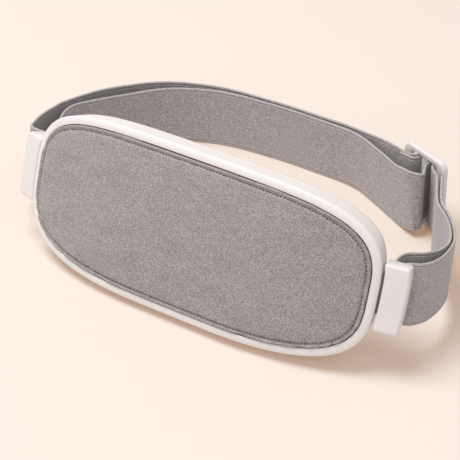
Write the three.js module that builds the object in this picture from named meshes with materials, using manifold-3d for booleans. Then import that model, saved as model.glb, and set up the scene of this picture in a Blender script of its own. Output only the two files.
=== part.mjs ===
// Heated waist belt: an oval heating pad in a slim curved housing, two hinged end lugs,
// and a doubled elastic strap with a sliding adjuster. Millimetres, +Z up.
// The pad leans back on its lower rear edge and the strap stands behind it as a ring.
import * as THREE from 'three';
import { mergeVertices } from 'three/addons/utils/BufferGeometryUtils.js';
import Module from 'manifold-3d';

const wasm = await Module();
wasm.setup();

// Driving dimensions of the pad
const COVER_HALF_LENGTH = 104.6;
const COVER_HALF_HEIGHT = 41.1;
const OUTLINE_POWER = 3.5;
const RIM_WIDTH = 4.6;
const PAD_LEAN = THREE.MathUtils.degToRad(18);
const PAD_BEND = 12;
const BEND_FLAT = 26;
const RECESS_DEPTH = 5;
const FLOOR_WALL = 1.6;
const SHELL_WALL = 2;
const PARTING_DEPTH = 10;
const HOUSING_DEPTH = 22;
const PARTING_GAP = 0.3;
const CLEARANCE = 0.3;
const OVERRUN = 2;
const AROUND = 48;

// Driving dimensions of the strap, the lugs and the adjuster
const STRAP_WIDTH = 37;
const STRAP_GATHER = 3.4;
const STRAP_THICKNESS = 1.4;
const RING_HALF_WIDTH = 145;
const RING_DEPTH = 168;
const LUG_WIDTH = 13.2;
const LUG_HEIGHT = 36.2;
const LUG_GAP = 1.2;
const SLIDER_LENGTH = 35;
const SLIDER_HEIGHT = 46;
const SLIDER_THICKNESS = 4;

const COLOURS = {
  white: { color: 0xe9e3e1, roughness: 0.42, metalness: 0 },
  fabric: { color: 0x9d9795, roughness: 0.95, metalness: 0 },
  webbing: { color: 0x8d8684, roughness: 0.9, metalness: 0 },
  foam: { color: 0xd8d2c4, roughness: 0.95, metalness: 0 },
  film: { color: 0xb5722e, roughness: 0.5, metalness: 0 },
  board: { color: 0x1f6b45, roughness: 0.6, metalness: 0 },
  cell: { color: 0xa7abb0, roughness: 0.45, metalness: 0.6 },
  steel: { color: 0xb9bbbd, roughness: 0.35, metalness: 0.9 },
  dark: { color: 0x2b2b2e, roughness: 0.6, metalness: 0 },
  lens: { color: 0xf3efe6, roughness: 0.3, metalness: 0 },
};

// Solids and meshes

function facingOut(geometry) {
  const place = geometry.attributes.position;
  const index = geometry.index.array;
  const corners = [new THREE.Vector3(), new THREE.Vector3(), new THREE.Vector3()];
  let volume = 0;
  for (let i = 0; i < index.length; i += 3) {
    corners.forEach((corner, k) => corner.fromBufferAttribute(place, index[i + k]));
    volume += corners[0].dot(corners[1].clone().cross(corners[2]));
  }
  if (volume < 0) {
    for (let i = 0; i < index.length; i += 3) {
      [index[i + 1], index[i + 2]] = [index[i + 2], index[i + 1]];
    }
  }
  return geometry;
}

function welded(geometry) {
  const bare = geometry.clone();
  bare.deleteAttribute('normal');
  bare.deleteAttribute('uv');
  return facingOut(mergeVertices(bare));
}

function toSolid(geometry) {
  const closed = welded(geometry);
  return new wasm.Manifold(new wasm.Mesh({
    numProp: 3,
    vertProperties: new Float32Array(closed.attributes.position.array),
    triVerts: new Uint32Array(closed.index.array),
  }));
}

function toGeometry(solid) {
  const mesh = solid.getMesh();
  const geometry = new THREE.BufferGeometry();
  geometry.setAttribute('position', new THREE.BufferAttribute(new Float32Array(mesh.vertProperties), 3));
  geometry.setIndex(new THREE.BufferAttribute(new Uint32Array(mesh.triVerts), 1));
  geometry.computeVertexNormals();
  return geometry;
}

function cut(body, ...tools) {
  return toGeometry(tools.reduce((solid, tool) => solid.subtract(toSolid(tool)), toSolid(body)));
}

function join(body, ...others) {
  return toGeometry(others.reduce((solid, other) => solid.add(toSolid(other)), toSolid(body)));
}

function piece(name, geometry, look) {
  const mesh = new THREE.Mesh(geometry, new THREE.MeshStandardMaterial(look));
  mesh.name = name;
  return mesh;
}

// A closed grid: rows of points that run around, closed by a middle point at each end
function lofted(rows) {
  const around = rows[0].length;
  const points = rows.flat();
  const index = [];
  const lastRow = (rows.length - 1) * around;
  for (let start = 0; start < lastRow; start += around) {
    const next = start + around;
    for (let k = 0; k < around; k += 1) {
      const side = (k + 1) % around;
      index.push(start + k, start + side, next + side);
      index.push(start + k, next + side, next + k);
    }
  }
  const middle = (row) => row.reduce((sum, p) => sum.add(p), new THREE.Vector3()).divideScalar(around);
  const first = points.push(middle(rows[0])) - 1;
  const last = points.push(middle(rows.at(-1))) - 1;
  for (let k = 0; k < around; k += 1) {
    const side = (k + 1) % around;
    index.push(first, side, k, last, lastRow + k, lastRow + side);
  }
  const geometry = new THREE.BufferGeometry().setFromPoints(points);
  geometry.setIndex(index);
  facingOut(geometry);
  geometry.computeVertexNormals();
  return geometry;
}

// Pad shapes, in the pad's own frame: X along it, Y from front to rear, Z up its face

function bendDepth(x) {
  const past = Math.max(0, Math.abs(x) - BEND_FLAT);
  return PAD_BEND * (past / (COVER_HALF_LENGTH - BEND_FLAT)) ** 2;
}

function bendAngle(x) {
  const past = Math.max(0, Math.abs(x) - BEND_FLAT);
  return Math.atan((Math.sign(x) * 2 * PAD_BEND * past) / (COVER_HALF_LENGTH - BEND_FLAT) ** 2);
}

// Places what is drawn at X = 0 on the bent pad, square to it at x
function bendMatrix(x) {
  const place = new THREE.Matrix4().makeTranslation(x, bendDepth(x), 0);
  return place.multiply(new THREE.Matrix4().makeRotationZ(bendAngle(x)));
}

function outlineRadius(angle) {
  const sum = Math.abs(Math.cos(angle)) ** OUTLINE_POWER + Math.abs(Math.sin(angle)) ** OUTLINE_POWER;
  return sum ** (-1 / OUTLINE_POWER);
}

// Share by which the housing is fuller towards its ends, from none in the middle to all at the tips
const FULL_FROM_share = 0.62;

function endFullness(reach) {
  return Math.max(0, (reach - FULL_FROM_share) / (1 - FULL_FROM_share));
}

function outlineRow({ share = 1, grow = 0, depth, endGrow = 0, endDepth = 0 }) {
  return Array.from({ length: AROUND }, (_, k) => {
    const angle = (2 * Math.PI * k) / AROUND;
    const radius = outlineRadius(angle);
    const fullness = endFullness(Math.abs(radius * Math.cos(angle)));
    const out = grow + fullness * endGrow;
    const x = (share * COVER_HALF_LENGTH + out) * radius * Math.cos(angle);
    const z = (share * COVER_HALF_HEIGHT + out) * radius * Math.sin(angle);
    return new THREE.Vector3(0, depth + fullness * endDepth, z).applyMatrix4(bendMatrix(x));
  });
}

// How far along X the housing's side reaches at a height up the face
function sideReach(height, grow) {
  const upShare = Math.min(1, Math.abs(height) / (COVER_HALF_HEIGHT + grow));
  return (COVER_HALF_LENGTH + grow) * (1 - upShare ** OUTLINE_POWER) ** (1 / OUTLINE_POWER);
}

const PLATE_shares = [0.3, 0.55, 0.8];

function plateRows(grow, depth) {
  return [...PLATE_shares.map((share) => outlineRow({ share, depth })), outlineRow({ grow, depth })];
}

function bentPlate(grow, front, rear) {
  return lofted([...plateRows(grow, front), ...plateRows(grow, rear).reverse()]);
}

function box(width, depth, height, x, y, z) {
  return new THREE.BoxGeometry(width, depth, height).translate(x, y, z);
}

function roundBar(radius, length, sides) {
  return new THREE.CylinderGeometry(radius, radius, length, sides);
}

// Front shell: a tray with the white rim, a recess for the cover and a floor behind it
const RECESS_GAP = 0.5;
const RIM_CREST_PROUD = 0.6;
const RIM_CREST_INSET = 1.2;
const RIM_SHOULDER_INSET = 0.3;
const RIM_SHOULDER_DEPTH = 0.7;
const RIM_SIDE_DEPTH = 2.2;
const RIM_DRAFT = 0.1;
const RIM_LIP_ROUND = 0.6;
const WALL_FILLET = 0.9;

const floorRear = RECESS_DEPTH + FLOOR_WALL;
const rimInner = RECESS_GAP;
const wallInner = RIM_WIDTH - SHELL_WALL;

function frontShellBody() {
  return lofted([
    ...plateRows(rimInner, RECESS_DEPTH),
    outlineRow({ grow: rimInner, depth: RIM_LIP_ROUND - RIM_CREST_PROUD }),
    outlineRow({ grow: rimInner + RIM_LIP_ROUND, depth: -RIM_CREST_PROUD }),
    outlineRow({ grow: RIM_WIDTH - RIM_CREST_INSET, depth: -RIM_CREST_PROUD }),
    outlineRow({ grow: RIM_WIDTH - RIM_SHOULDER_INSET, depth: RIM_SHOULDER_DEPTH }),
    outlineRow({ grow: RIM_WIDTH, depth: RIM_SIDE_DEPTH }),
    outlineRow({ grow: RIM_WIDTH + RIM_DRAFT, depth: PARTING_DEPTH }),
    outlineRow({ grow: wallInner, depth: PARTING_DEPTH }),
    outlineRow({ grow: wallInner, depth: floorRear + WALL_FILLET }),
    outlineRow({ grow: wallInner - WALL_FILLET, depth: floorRear }),
    ...PLATE_shares.toReversed().map((share) => outlineRow({ share, depth: floorRear })),
  ]);
}

// Rear shell: a shallow cover that closes the housing from behind
const REAR_SHOULDER_DEPTH = 16.4;
const REAR_SHOULDER_INSET = 0.8;
const REAR_TURN_INSET = 3.4;
const REAR_TURN_DEPTH = 20.6;
const REAR_FLAT_INSET = 9;
const REAR_END_SHOULDER_GROW = 0.4;
const REAR_END_SHOULDER_DEPTH = 1.2;
const REAR_END_TURN_GROW = 0.9;
const REAR_END_TURN_DEPTH = 0.6;
const REAR_END_FLAT_GROW = 1.4;
const REAR_PLATE_shares = [0.4, 0.75];

function rearShellBody() {
  const rearPlate = (depth) => REAR_PLATE_shares.map((share) => outlineRow({ share, depth }));
  const inner = HOUSING_DEPTH - SHELL_WALL;
  const outline = (inset, depth, endGrow = 0, endDepth = 0) => outlineRow({
    grow: RIM_WIDTH - inset,
    depth,
    endGrow,
    endDepth,
  });
  const wallRows = (wall) => [
    outline(REAR_FLAT_INSET + wall, HOUSING_DEPTH - wall, REAR_END_FLAT_GROW),
    outline(REAR_TURN_INSET + wall, REAR_TURN_DEPTH - wall, REAR_END_TURN_GROW, REAR_END_TURN_DEPTH),
    outline(
      REAR_SHOULDER_INSET + wall,
      REAR_SHOULDER_DEPTH - wall,
      REAR_END_SHOULDER_GROW,
      REAR_END_SHOULDER_DEPTH,
    ),
  ];
  return lofted([
    ...rearPlate(HOUSING_DEPTH),
    ...wallRows(0),
    outline(-RIM_DRAFT, PARTING_DEPTH + PARTING_GAP),
    outline(SHELL_WALL, PARTING_DEPTH + PARTING_GAP),
    ...wallRows(SHELL_WALL).reverse(),
    ...rearPlate(inner).reverse(),
  ]);
}

// Plush cover: a crowned cushion with a drawn-in side and a sewn line inside its edge
const COVER_REAR = 2;
const COVER_EDGE_PROUD = 1.6;
const COVER_CROWN = 3.6;
const COVER_ROLL = 1;
const SEAM_INSET = 3.4;
const SEAM_DEPTH = 0.7;
const SEAM_HALF_WIDTH = 1.1;

function coverBody() {
  const front = -COVER_EDGE_PROUD;
  const crown = [-COVER_CROWN, -COVER_CROWN + SEAM_DEPTH / 2, front - SEAM_DEPTH];
  return lofted([
    ...PLATE_shares.map((share, k) => outlineRow({ share, depth: crown[k] })),
    outlineRow({ grow: -SEAM_INSET - SEAM_HALF_WIDTH, depth: front }),
    outlineRow({ grow: -SEAM_INSET, depth: front + SEAM_DEPTH }),
    outlineRow({ grow: -SEAM_INSET + SEAM_HALF_WIDTH, depth: front }),
    outlineRow({ grow: -COVER_ROLL, depth: front + COVER_ROLL / 2 }),
    outlineRow({ grow: 0, depth: 0 }),
    outlineRow({ grow: -COVER_ROLL, depth: COVER_REAR }),
    ...PLATE_shares.toReversed().map((share) => outlineRow({ share, depth: COVER_REAR })),
  ]);
}

// Heating layers between the cover and the tray's floor
const FILM_THICKNESS = 0.5;
const LAYER_INSET = 5;
const LAYER_GAP = 0.42;
const filmFront = COVER_REAR + LAYER_GAP;
const foamFront = filmFront + FILM_THICKNESS + LAYER_GAP;
const foamRear = RECESS_DEPTH - CLEARANCE;
const SENSOR_LENGTH = 5;
const SENSOR_WIDTH = 3;
const SENSOR_X = 12;
const sensorThickness = foamRear - foamFront;

const sensorAt = [SENSOR_X, (foamFront + foamRear) / 2, 0];
const sensor = () => box(SENSOR_LENGTH, sensorThickness, SENSOR_WIDTH, ...sensorAt);
const sensorPocket = () => box(
  SENSOR_LENGTH + 2 * CLEARANCE,
  sensorThickness + OVERRUN,
  SENSOR_WIDTH + 2 * CLEARANCE,
  ...sensorAt,
);

// Controls on the rear: three buttons, a light window and a charging socket on one board
const BOARD_WIDTH = 70;
const BOARD_HEIGHT = 44;
const BOARD_THICKNESS = 1.6;
const BOARD_CENTRE_Z = -16;
const BUTTON_SPACING = 20;
const BUTTON_Z = -6;
const BUTTON_RADIUS = 5.5;
const BUTTON_FLANGE = 1.4;
const BUTTON_FLANGE_THICKNESS = 1;
const BUTTON_PROUD = 1.2;
const BUTTON_TRAVEL = 0.6;
const BUTTON_RUNNING_GAP = 0.35;
const SWITCH_SIZE = 6;
const SWITCH_BODY = 2.2;
const PLUNGER_RADIUS = 1.7;
const PLUNGER_HEIGHT = 0.8;
const ROUND_SIDES = 20;
const SCREW_SIDES = 12;

const rearInner = HOUSING_DEPTH - SHELL_WALL;
const flangeRear = rearInner - CLEARANCE;
const flangeFront = flangeRear - BUTTON_FLANGE_THICKNESS;
const plungerRear = flangeFront - BUTTON_TRAVEL - CLEARANCE;
const switchRear = plungerRear - PLUNGER_HEIGHT;
const boardRear = switchRear - SWITCH_BODY - CLEARANCE;
const boardFront = boardRear - BOARD_THICKNESS;
const BUTTON_NAMES = ['massage', 'power', 'heat'];

// Stand-offs of the tray's floor that carry the board
const STANDOFF_RADIUS = 2.2;
const STANDOFF_ACROSS = 30;
const STANDOFF_HEIGHTS = [-33, 1];

function standoffs() {
  const front = RECESS_DEPTH + FLOOR_WALL / 2;
  return STANDOFF_HEIGHTS.flatMap((z) => [
    disc(STANDOFF_RADIUS, front, boardFront - CLEARANCE, STANDOFF_ACROSS, z, SCREW_SIDES),
    disc(STANDOFF_RADIUS, front, boardFront - CLEARANCE, -STANDOFF_ACROSS, z, SCREW_SIDES),
  ]);
}

function buttonX(k) {
  return (k - (BUTTON_NAMES.length - 1) / 2) * BUTTON_SPACING;
}

function disc(radius, front, rear, x, z, sides = ROUND_SIDES) {
  return roundBar(radius, rear - front, sides).translate(x, (front + rear) / 2, z);
}

function button(k) {
  const x = buttonX(k);
  const flange = disc(BUTTON_RADIUS + BUTTON_FLANGE, flangeFront, flangeRear, x, BUTTON_Z);
  const cap = disc(BUTTON_RADIUS, flangeRear - CLEARANCE, HOUSING_DEPTH + BUTTON_PROUD, x, BUTTON_Z);
  return join(flange, cap);
}

function buttonHole(k) {
  const radius = BUTTON_RADIUS + BUTTON_RUNNING_GAP;
  return disc(radius, rearInner - OVERRUN, HOUSING_DEPTH + OVERRUN, buttonX(k), BUTTON_Z);
}

function tactSwitch(k) {
  const middle = (boardRear + CLEARANCE + switchRear) / 2;
  const body = box(SWITCH_SIZE, SWITCH_BODY, SWITCH_SIZE, buttonX(k), middle, BUTTON_Z);
  return join(body, disc(PLUNGER_RADIUS, switchRear - CLEARANCE, plungerRear, buttonX(k), BUTTON_Z));
}

// Light window: a bar of clear plastic with a flange behind the rear wall
const WINDOW_WIDTH = 26;
const WINDOW_HEIGHT = 3;
const WINDOW_FLANGE = 1.2;
const WINDOW_Z = 10;

function windowBar(grow, front, rear) {
  const middle = (front + rear) / 2;
  return box(WINDOW_WIDTH + 2 * grow, rear - front, WINDOW_HEIGHT + 2 * grow, 0, middle, WINDOW_Z);
}

// Charging socket: a steel sleeve on the board's lower edge, reached through the side wall
const SOCKET_WIDTH = 9;
const SOCKET_HEIGHT = 3.2;
const SOCKET_LENGTH = 7.4;
const SOCKET_WALL = 0.4;
const SOCKET_FLOOR = 1;
const SOCKET_BOARD_OVERLAP = 1.6;
const PORT_GAP = 0.5;

const boardBottom = BOARD_CENTRE_Z - BOARD_HEIGHT / 2;
const socketMiddleZ = boardBottom + SOCKET_BOARD_OVERLAP - SOCKET_LENGTH / 2;
const socketDepth = boardRear + CLEARANCE + SOCKET_HEIGHT / 2;

function socketBody() {
  const sleeve = box(SOCKET_WIDTH, SOCKET_HEIGHT, SOCKET_LENGTH, 0, socketDepth, socketMiddleZ);
  const bore = box(
    SOCKET_WIDTH - 2 * SOCKET_WALL,
    SOCKET_HEIGHT - 2 * SOCKET_WALL,
    SOCKET_LENGTH,
    0,
    socketDepth,
    socketMiddleZ - SOCKET_FLOOR,
  );
  return cut(sleeve, bore);
}

function portHole() {
  return box(
    SOCKET_WIDTH + 2 * PORT_GAP,
    SOCKET_HEIGHT + 2 * PORT_GAP,
    SOCKET_LENGTH + 2 * RIM_WIDTH,
    0,
    socketDepth,
    socketMiddleZ - RIM_WIDTH,
  );
}

// Battery cells lie on the floor's rear face, on both sides of the board
const CELL_LENGTH = 46;
const CELL_HEIGHT = 34;
const CELL_THICKNESS = 7;
const CELL_CENTRE_X = 62;

function batteryCell(side) {
  const bulge = PAD_BEND * (CELL_LENGTH / 2 / (COVER_HALF_LENGTH - BEND_FLAT)) ** 2;
  const front = floorRear + bulge + 2 * CLEARANCE;
  const cell = box(CELL_LENGTH, CELL_THICKNESS, CELL_HEIGHT, 0, front + CELL_THICKNESS / 2, 0);
  return cell.applyMatrix4(bendMatrix(side * CELL_CENTRE_X));
}

// Vibration motor above the board, with its off-centre weight on the shaft
const MOTOR_RADIUS = 5;
const MOTOR_LENGTH = 18;
const MOTOR_CENTRE_Z = 24;
const MOTOR_LEFT = -14;
const MOTOR_BORE = 1.1;
const MOTOR_BORE_DEPTH = 4;
const SHAFT_RADIUS = 0.8;
const SHAFT_FREE = 1;
const WEIGHT_RADIUS = 4.4;
const WEIGHT_LENGTH = 5;
const WEIGHT_FLAT = 1.2;
const SADDLE_WIDTH = 9;
const SADDLE_LENGTH = 14;

const motorDepth = floorRear + CLEARANCE + MOTOR_RADIUS + FLOOR_WALL;
const motorRight = MOTOR_LEFT + MOTOR_LENGTH;

function alongX(radius, left, right, sides = ROUND_SIDES) {
  const bar = roundBar(radius, right - left, sides).rotateZ(Math.PI / 2);
  return bar.translate((left + right) / 2, motorDepth, MOTOR_CENTRE_Z);
}

function motorBody() {
  const bore = alongX(MOTOR_BORE, motorRight - MOTOR_BORE_DEPTH, motorRight + OVERRUN);
  return cut(alongX(MOTOR_RADIUS, MOTOR_LEFT, motorRight), bore);
}

function motorWeight() {
  const weightLeft = motorRight + SHAFT_FREE;
  const weightRight = weightLeft + WEIGHT_LENGTH;
  const half = box(
    WEIGHT_LENGTH + 2 * OVERRUN,
    2 * WEIGHT_RADIUS,
    2 * WEIGHT_RADIUS,
    (weightLeft + weightRight) / 2,
    motorDepth,
    MOTOR_CENTRE_Z + WEIGHT_RADIUS + WEIGHT_FLAT,
  );
  const lump = cut(alongX(WEIGHT_RADIUS, weightLeft, weightRight), half);
  const weight = join(lump, alongX(SHAFT_RADIUS, motorRight - MOTOR_BORE_DEPTH + CLEARANCE, weightRight));
  weight.translate(0, -motorDepth, -MOTOR_CENTRE_Z).rotateX(PAD_LEAN);
  return weight.translate(0, motorDepth, MOTOR_CENTRE_Z);
}

function motorSaddle() {
  const middleX = (MOTOR_LEFT + motorRight) / 2;
  const foot = floorRear + CLEARANCE;
  const block = box(
    SADDLE_LENGTH,
    motorDepth - foot,
    SADDLE_WIDTH + MOTOR_RADIUS,
    middleX,
    (foot + motorDepth) / 2,
    MOTOR_CENTRE_Z,
  );
  return cut(block, alongX(MOTOR_RADIUS + CLEARANCE, MOTOR_LEFT - OVERRUN, motorRight + OVERRUN));
}

// Case screws: from the rear into bosses that rise from the tray's floor
const SCREW_RADIUS = 1.2;
const SCREW_HEAD_RADIUS = 2.4;
const SCREW_HEAD = 1.6;
const SCREW_LENGTH = 11;
const SCREW_DRIVE_RADIUS = 1;
const SCREW_DRIVE_DEPTH = 0.9;
const BOSS_RADIUS = 3;
const BOSS_TOP = 15.5;
const HEX = 6;
const POST_WALL = 1.4;
const HEAD_SUNK = 1;
const SCREW_X_shares = [0.43, 0.43, -0.43, -0.43, 0.86, -0.86];
const SCREW_Z_shares = [0.86, -0.86, 0.86, -0.86, 0.5, 0.5];

const screwPlaces = SCREW_X_shares.map((share, k) => (
  { x: share * COVER_HALF_LENGTH, z: SCREW_Z_shares[k] * COVER_HALF_HEIGHT }
));
const headRear = REAR_TURN_DEPTH - HEAD_SUNK;

function screwDisc(place, radius, front, rear, sides = SCREW_SIDES) {
  return disc(radius, front, rear, 0, place.z, sides).applyMatrix4(bendMatrix(place.x));
}

function screwBody(place) {
  const seat = headRear - SCREW_HEAD;
  const shank = screwDisc(place, SCREW_RADIUS, seat - SCREW_LENGTH, seat + CLEARANCE);
  const head = screwDisc(place, SCREW_HEAD_RADIUS, seat, headRear);
  const drive = screwDisc(place, SCREW_DRIVE_RADIUS, headRear - SCREW_DRIVE_DEPTH, headRear + OVERRUN, HEX);
  return cut(join(shank, head), drive);
}

function bossBody(place) {
  return screwDisc(place, BOSS_RADIUS, RECESS_DEPTH + FLOOR_WALL / 2, BOSS_TOP);
}

function bossBore(place) {
  const seat = headRear - SCREW_HEAD;
  return screwDisc(place, SCREW_RADIUS + CLEARANCE, seat - SCREW_LENGTH - CLEARANCE, BOSS_TOP + OVERRUN);
}

// A post stands round each screw inside the rear shell, with the head's seat in it
function postBody(place) {
  return screwDisc(place, SCREW_HEAD_RADIUS + CLEARANCE + POST_WALL, BOSS_TOP + CLEARANCE, REAR_TURN_DEPTH);
}

function postBores(place) {
  const seat = headRear - SCREW_HEAD - CLEARANCE;
  return [
    screwDisc(place, SCREW_RADIUS + CLEARANCE, BOSS_TOP - OVERRUN, headRear + OVERRUN),
    screwDisc(place, SCREW_HEAD_RADIUS + CLEARANCE, seat, HOUSING_DEPTH + OVERRUN),
  ];
}

// End lugs: hollow blocks that the strap loops into, hinged on a pin inside the housing.
// They are drawn in an end frame whose X points outwards and whose origin is on the rim.
const HINGE_INSET = 8.6;
const HINGE_DEPTH = 10.2;
const PIN_RADIUS = 1.5;
const PIN_GAP = 0.3;
const BARREL_RADIUS = 3;
const TONGUE_HALF_HEIGHT = 11;
const TONGUE_THICKNESS = 3.6;
const TONGUE_SIDE_GAP = 0.5;
const EAR_THICKNESS = 3;
const EAR_RADIUS = 2.9;
const LUG_FRONT = 0.6;
const LUG_REAR = 10.6;
const LUG_SIDE_WALL = 1.6;
const LUG_FRONT_WALL = 2;
const LUG_OUTER_WALL = 3.4;
const LUG_BEVEL = 1;
const BAR_WIDTH = 3.4;
const BAR_THICKNESS = 2.4;
const BAR_DEPTH = 8;
const LUG_SWING_SLOT = 2.2;
const LUG_EDGE_STEPS = 8;
const BEVEL_STEPS = 2;

const endX = COVER_HALF_LENGTH + RIM_WIDTH + RIM_DRAFT;
const lugInner = LUG_GAP;
const lugOuter = LUG_GAP + LUG_WIDTH;
const cavityInner = lugInner + LUG_SIDE_WALL;
const cavityOuter = lugOuter - LUG_OUTER_WALL;
const barX = (cavityInner + cavityOuter) / 2;
const cavityHalfHeight = (STRAP_WIDTH - STRAP_GATHER) / 2 + CLEARANCE;

function endRise(height) {
  return sideReach(height, RIM_WIDTH + RIM_DRAFT) - endX;
}

// Outline of the lug's block: both long edges follow the rim's end curve
function lugOutline() {
  const half = LUG_HEIGHT / 2 - LUG_BEVEL;
  const heights = Array.from({ length: LUG_EDGE_STEPS + 1 }, (_, k) => half - (2 * half * k) / LUG_EDGE_STEPS);
  const inner = heights.map((h) => new THREE.Vector2(lugInner + LUG_BEVEL + endRise(h), h));
  const outer = heights.map((h) => new THREE.Vector2(lugOuter - LUG_BEVEL + endRise(h), h));
  return new THREE.Shape([...inner, ...outer.reverse()]);
}

function lugBlock() {
  const block = new THREE.ExtrudeGeometry(lugOutline(), {
    depth: LUG_REAR - LUG_FRONT - 2 * LUG_BEVEL,
    bevelEnabled: true,
    bevelThickness: LUG_BEVEL,
    bevelSize: LUG_BEVEL,
    bevelSegments: BEVEL_STEPS,
    steps: 1,
  });
  return block.rotateX(Math.PI / 2).translate(0, LUG_REAR - LUG_BEVEL, 0);
}

function uprightBar(radius, length, x, y, sides = ROUND_SIDES) {
  return roundBar(radius, length, sides).rotateX(Math.PI / 2).translate(x, y, 0);
}

function boxBetween(x0, x1, y0, y1, halfHeight) {
  return box(x1 - x0, y1 - y0, 2 * halfHeight, (x0 + x1) / 2, (y0 + y1) / 2, 0);
}

function lugBody() {
  const cavityFront = LUG_FRONT + LUG_FRONT_WALL;
  const cavity = boxBetween(cavityInner, cavityOuter, cavityFront, LUG_REAR + OVERRUN, cavityHalfHeight);
  const barHalf = cavityHalfHeight + LUG_SIDE_WALL / 2;
  const bar = boxBetween(
    barX - BAR_WIDTH / 2,
    barX + BAR_WIDTH / 2,
    BAR_DEPTH - BAR_THICKNESS / 2,
    BAR_DEPTH + BAR_THICKNESS / 2,
    barHalf,
  );
  const tongue = boxBetween(
    -HINGE_INSET,
    lugInner + LUG_SIDE_WALL / 2,
    HINGE_DEPTH - TONGUE_THICKNESS / 2,
    HINGE_DEPTH + TONGUE_THICKNESS / 2,
    TONGUE_HALF_HEIGHT,
  );
  const hollow = cut(lugBlock(), cavity);
  const barrel = uprightBar(BARREL_RADIUS, 2 * TONGUE_HALF_HEIGHT, -HINGE_INSET, HINGE_DEPTH);
  const bore = uprightBar(PIN_RADIUS + PIN_GAP, 2 * TONGUE_HALF_HEIGHT + OVERRUN, -HINGE_INSET, HINGE_DEPTH);
  return cut(join(hollow, bar, tongue, barrel), bore);
}

const earInner = TONGUE_HALF_HEIGHT + TONGUE_SIDE_GAP;
const pinLength = 2 * (earInner + EAR_THICKNESS);

function lugPin() {
  return uprightBar(PIN_RADIUS, pinLength, -HINGE_INSET, HINGE_DEPTH);
}

// Room in the housing for the barrel and the tongue through their whole swing
function lugPocket() {
  const room = BARREL_RADIUS + LUG_SWING_SLOT / 2;
  const half = TONGUE_THICKNESS / 2;
  const slot = boxBetween(
    -HINGE_INSET,
    LUG_WIDTH,
    HINGE_DEPTH - half - CLEARANCE,
    HINGE_DEPTH + half + LUG_SWING_SLOT,
    earInner,
  );
  return join(slot, uprightBar(room, 2 * earInner, -HINGE_INSET, HINGE_DEPTH));
}

// Ears that hold the pin's ends stand on the tray's floor, one above and one below the tongue
function ears() {
  const foot = RECESS_DEPTH + FLOOR_WALL / 2;
  const top = HINGE_DEPTH + EAR_RADIUS;
  const middleZ = earInner + EAR_THICKNESS / 2;
  const ear = (z) => box(2 * EAR_RADIUS, top - foot, EAR_THICKNESS, -HINGE_INSET, (foot + top) / 2, z);
  return [ear(middleZ), ear(-middleZ)];
}

function pinBore() {
  return uprightBar(PIN_RADIUS + PIN_GAP, pinLength + CLEARANCE, -HINGE_INSET, HINGE_DEPTH);
}

// The end frame of one side, as a matrix in the pad's frame
function endMatrix(side) {
  const place = bendMatrix(endX);
  return side > 0 ? place : new THREE.Matrix4().makeScale(-1, 1, 1).multiply(place);
}

function atEnd(geometry, side) {
  return facingOut(welded(geometry).applyMatrix4(endMatrix(side)));
}

// Housing pieces with everything cut and joined
const SIDES = [1, -1];

function frontShell() {
  const sideEars = SIDES.flatMap((side) => ears().map((ear) => atEnd(ear, side)));
  const added = [...screwPlaces.map(bossBody), ...standoffs(), ...sideEars];
  const removed = [
    ...screwPlaces.map(bossBore),
    ...SIDES.map((side) => atEnd(lugPocket(), side)),
    ...SIDES.map((side) => atEnd(pinBore(), side)),
  ];
  return cut(join(frontShellBody(), ...added), ...removed);
}

function rearShell() {
  const removed = [
    ...screwPlaces.flatMap(postBores),
    ...SIDES.map((side) => atEnd(lugPocket(), side)),
    ...BUTTON_NAMES.map((_, k) => buttonHole(k)),
    windowBar(CLEARANCE, rearInner - OVERRUN, HOUSING_DEPTH + OVERRUN),
    portHole(),
  ];
  return cut(join(rearShellBody(), ...screwPlaces.map(postBody)), ...removed);
}

const pad = new THREE.Group();
pad.add(
  piece('front_shell', frontShell(), COLOURS.white),
  piece('rear_shell', rearShell(), COLOURS.white),
  piece('plush_cover', coverBody(), COLOURS.fabric),
  piece('heating_film', bentPlate(-LAYER_INSET, filmFront, filmFront + FILM_THICKNESS), COLOURS.film),
  piece('foam_layer', cut(bentPlate(-LAYER_INSET, foamFront, foamRear), sensorPocket()), COLOURS.foam),
  piece('temperature_sensor', sensor(), COLOURS.dark),
  piece(
    'control_board',
    box(BOARD_WIDTH, BOARD_THICKNESS, BOARD_HEIGHT, 0, (boardFront + boardRear) / 2, BOARD_CENTRE_Z),
    COLOURS.board,
  ),
  piece(
    'light_window',
    join(
      windowBar(WINDOW_FLANGE, flangeFront, flangeRear),
      windowBar(0, flangeRear - CLEARANCE, HOUSING_DEPTH + CLEARANCE),
    ),
    COLOURS.lens,
  ),
  piece('charging_socket', socketBody(), COLOURS.steel),
  piece('battery_cell_right', batteryCell(1), COLOURS.cell),
  piece('battery_cell_left', batteryCell(-1), COLOURS.cell),
  piece('vibration_motor', motorBody(), COLOURS.steel),
  piece('motor_weight', motorWeight(), COLOURS.steel),
  piece('motor_saddle', motorSaddle(), COLOURS.dark),
);
BUTTON_NAMES.forEach((name, k) => {
  pad.add(piece(`${name}_button`, button(k), COLOURS.white));
  pad.add(piece(`${name}_switch`, tactSwitch(k), COLOURS.dark));
});
screwPlaces.forEach((place, k) => pad.add(piece(`case_screw_${k + 1}`, screwBody(place), COLOURS.steel)));
SIDES.forEach((side) => {
  const end = side > 0 ? 'right' : 'left';
  pad.add(piece(`lug_${end}`, atEnd(lugBody(), side), COLOURS.white));
  pad.add(piece(`lug_pin_${end}`, atEnd(lugPin(), side), COLOURS.steel));
});

// The pad leans back and stands on its lower rear edge, a little to the left of the ring's middle
const PAD_ACROSS = -3.4;
const PAD_BACK = 5.2;
pad.rotation.x = -PAD_LEAN;
pad.position.set(PAD_ACROSS, PAD_BACK, 0);
pad.updateMatrixWorld(true);
pad.position.z = -new THREE.Box3().setFromObject(pad, true).min.z;
pad.updateMatrixWorld(true);

// Strap: flat webbing carried along a path, its width standing up. It leans with the pad
// and is gathered a little where it nears the lugs, both by the same share

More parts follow.
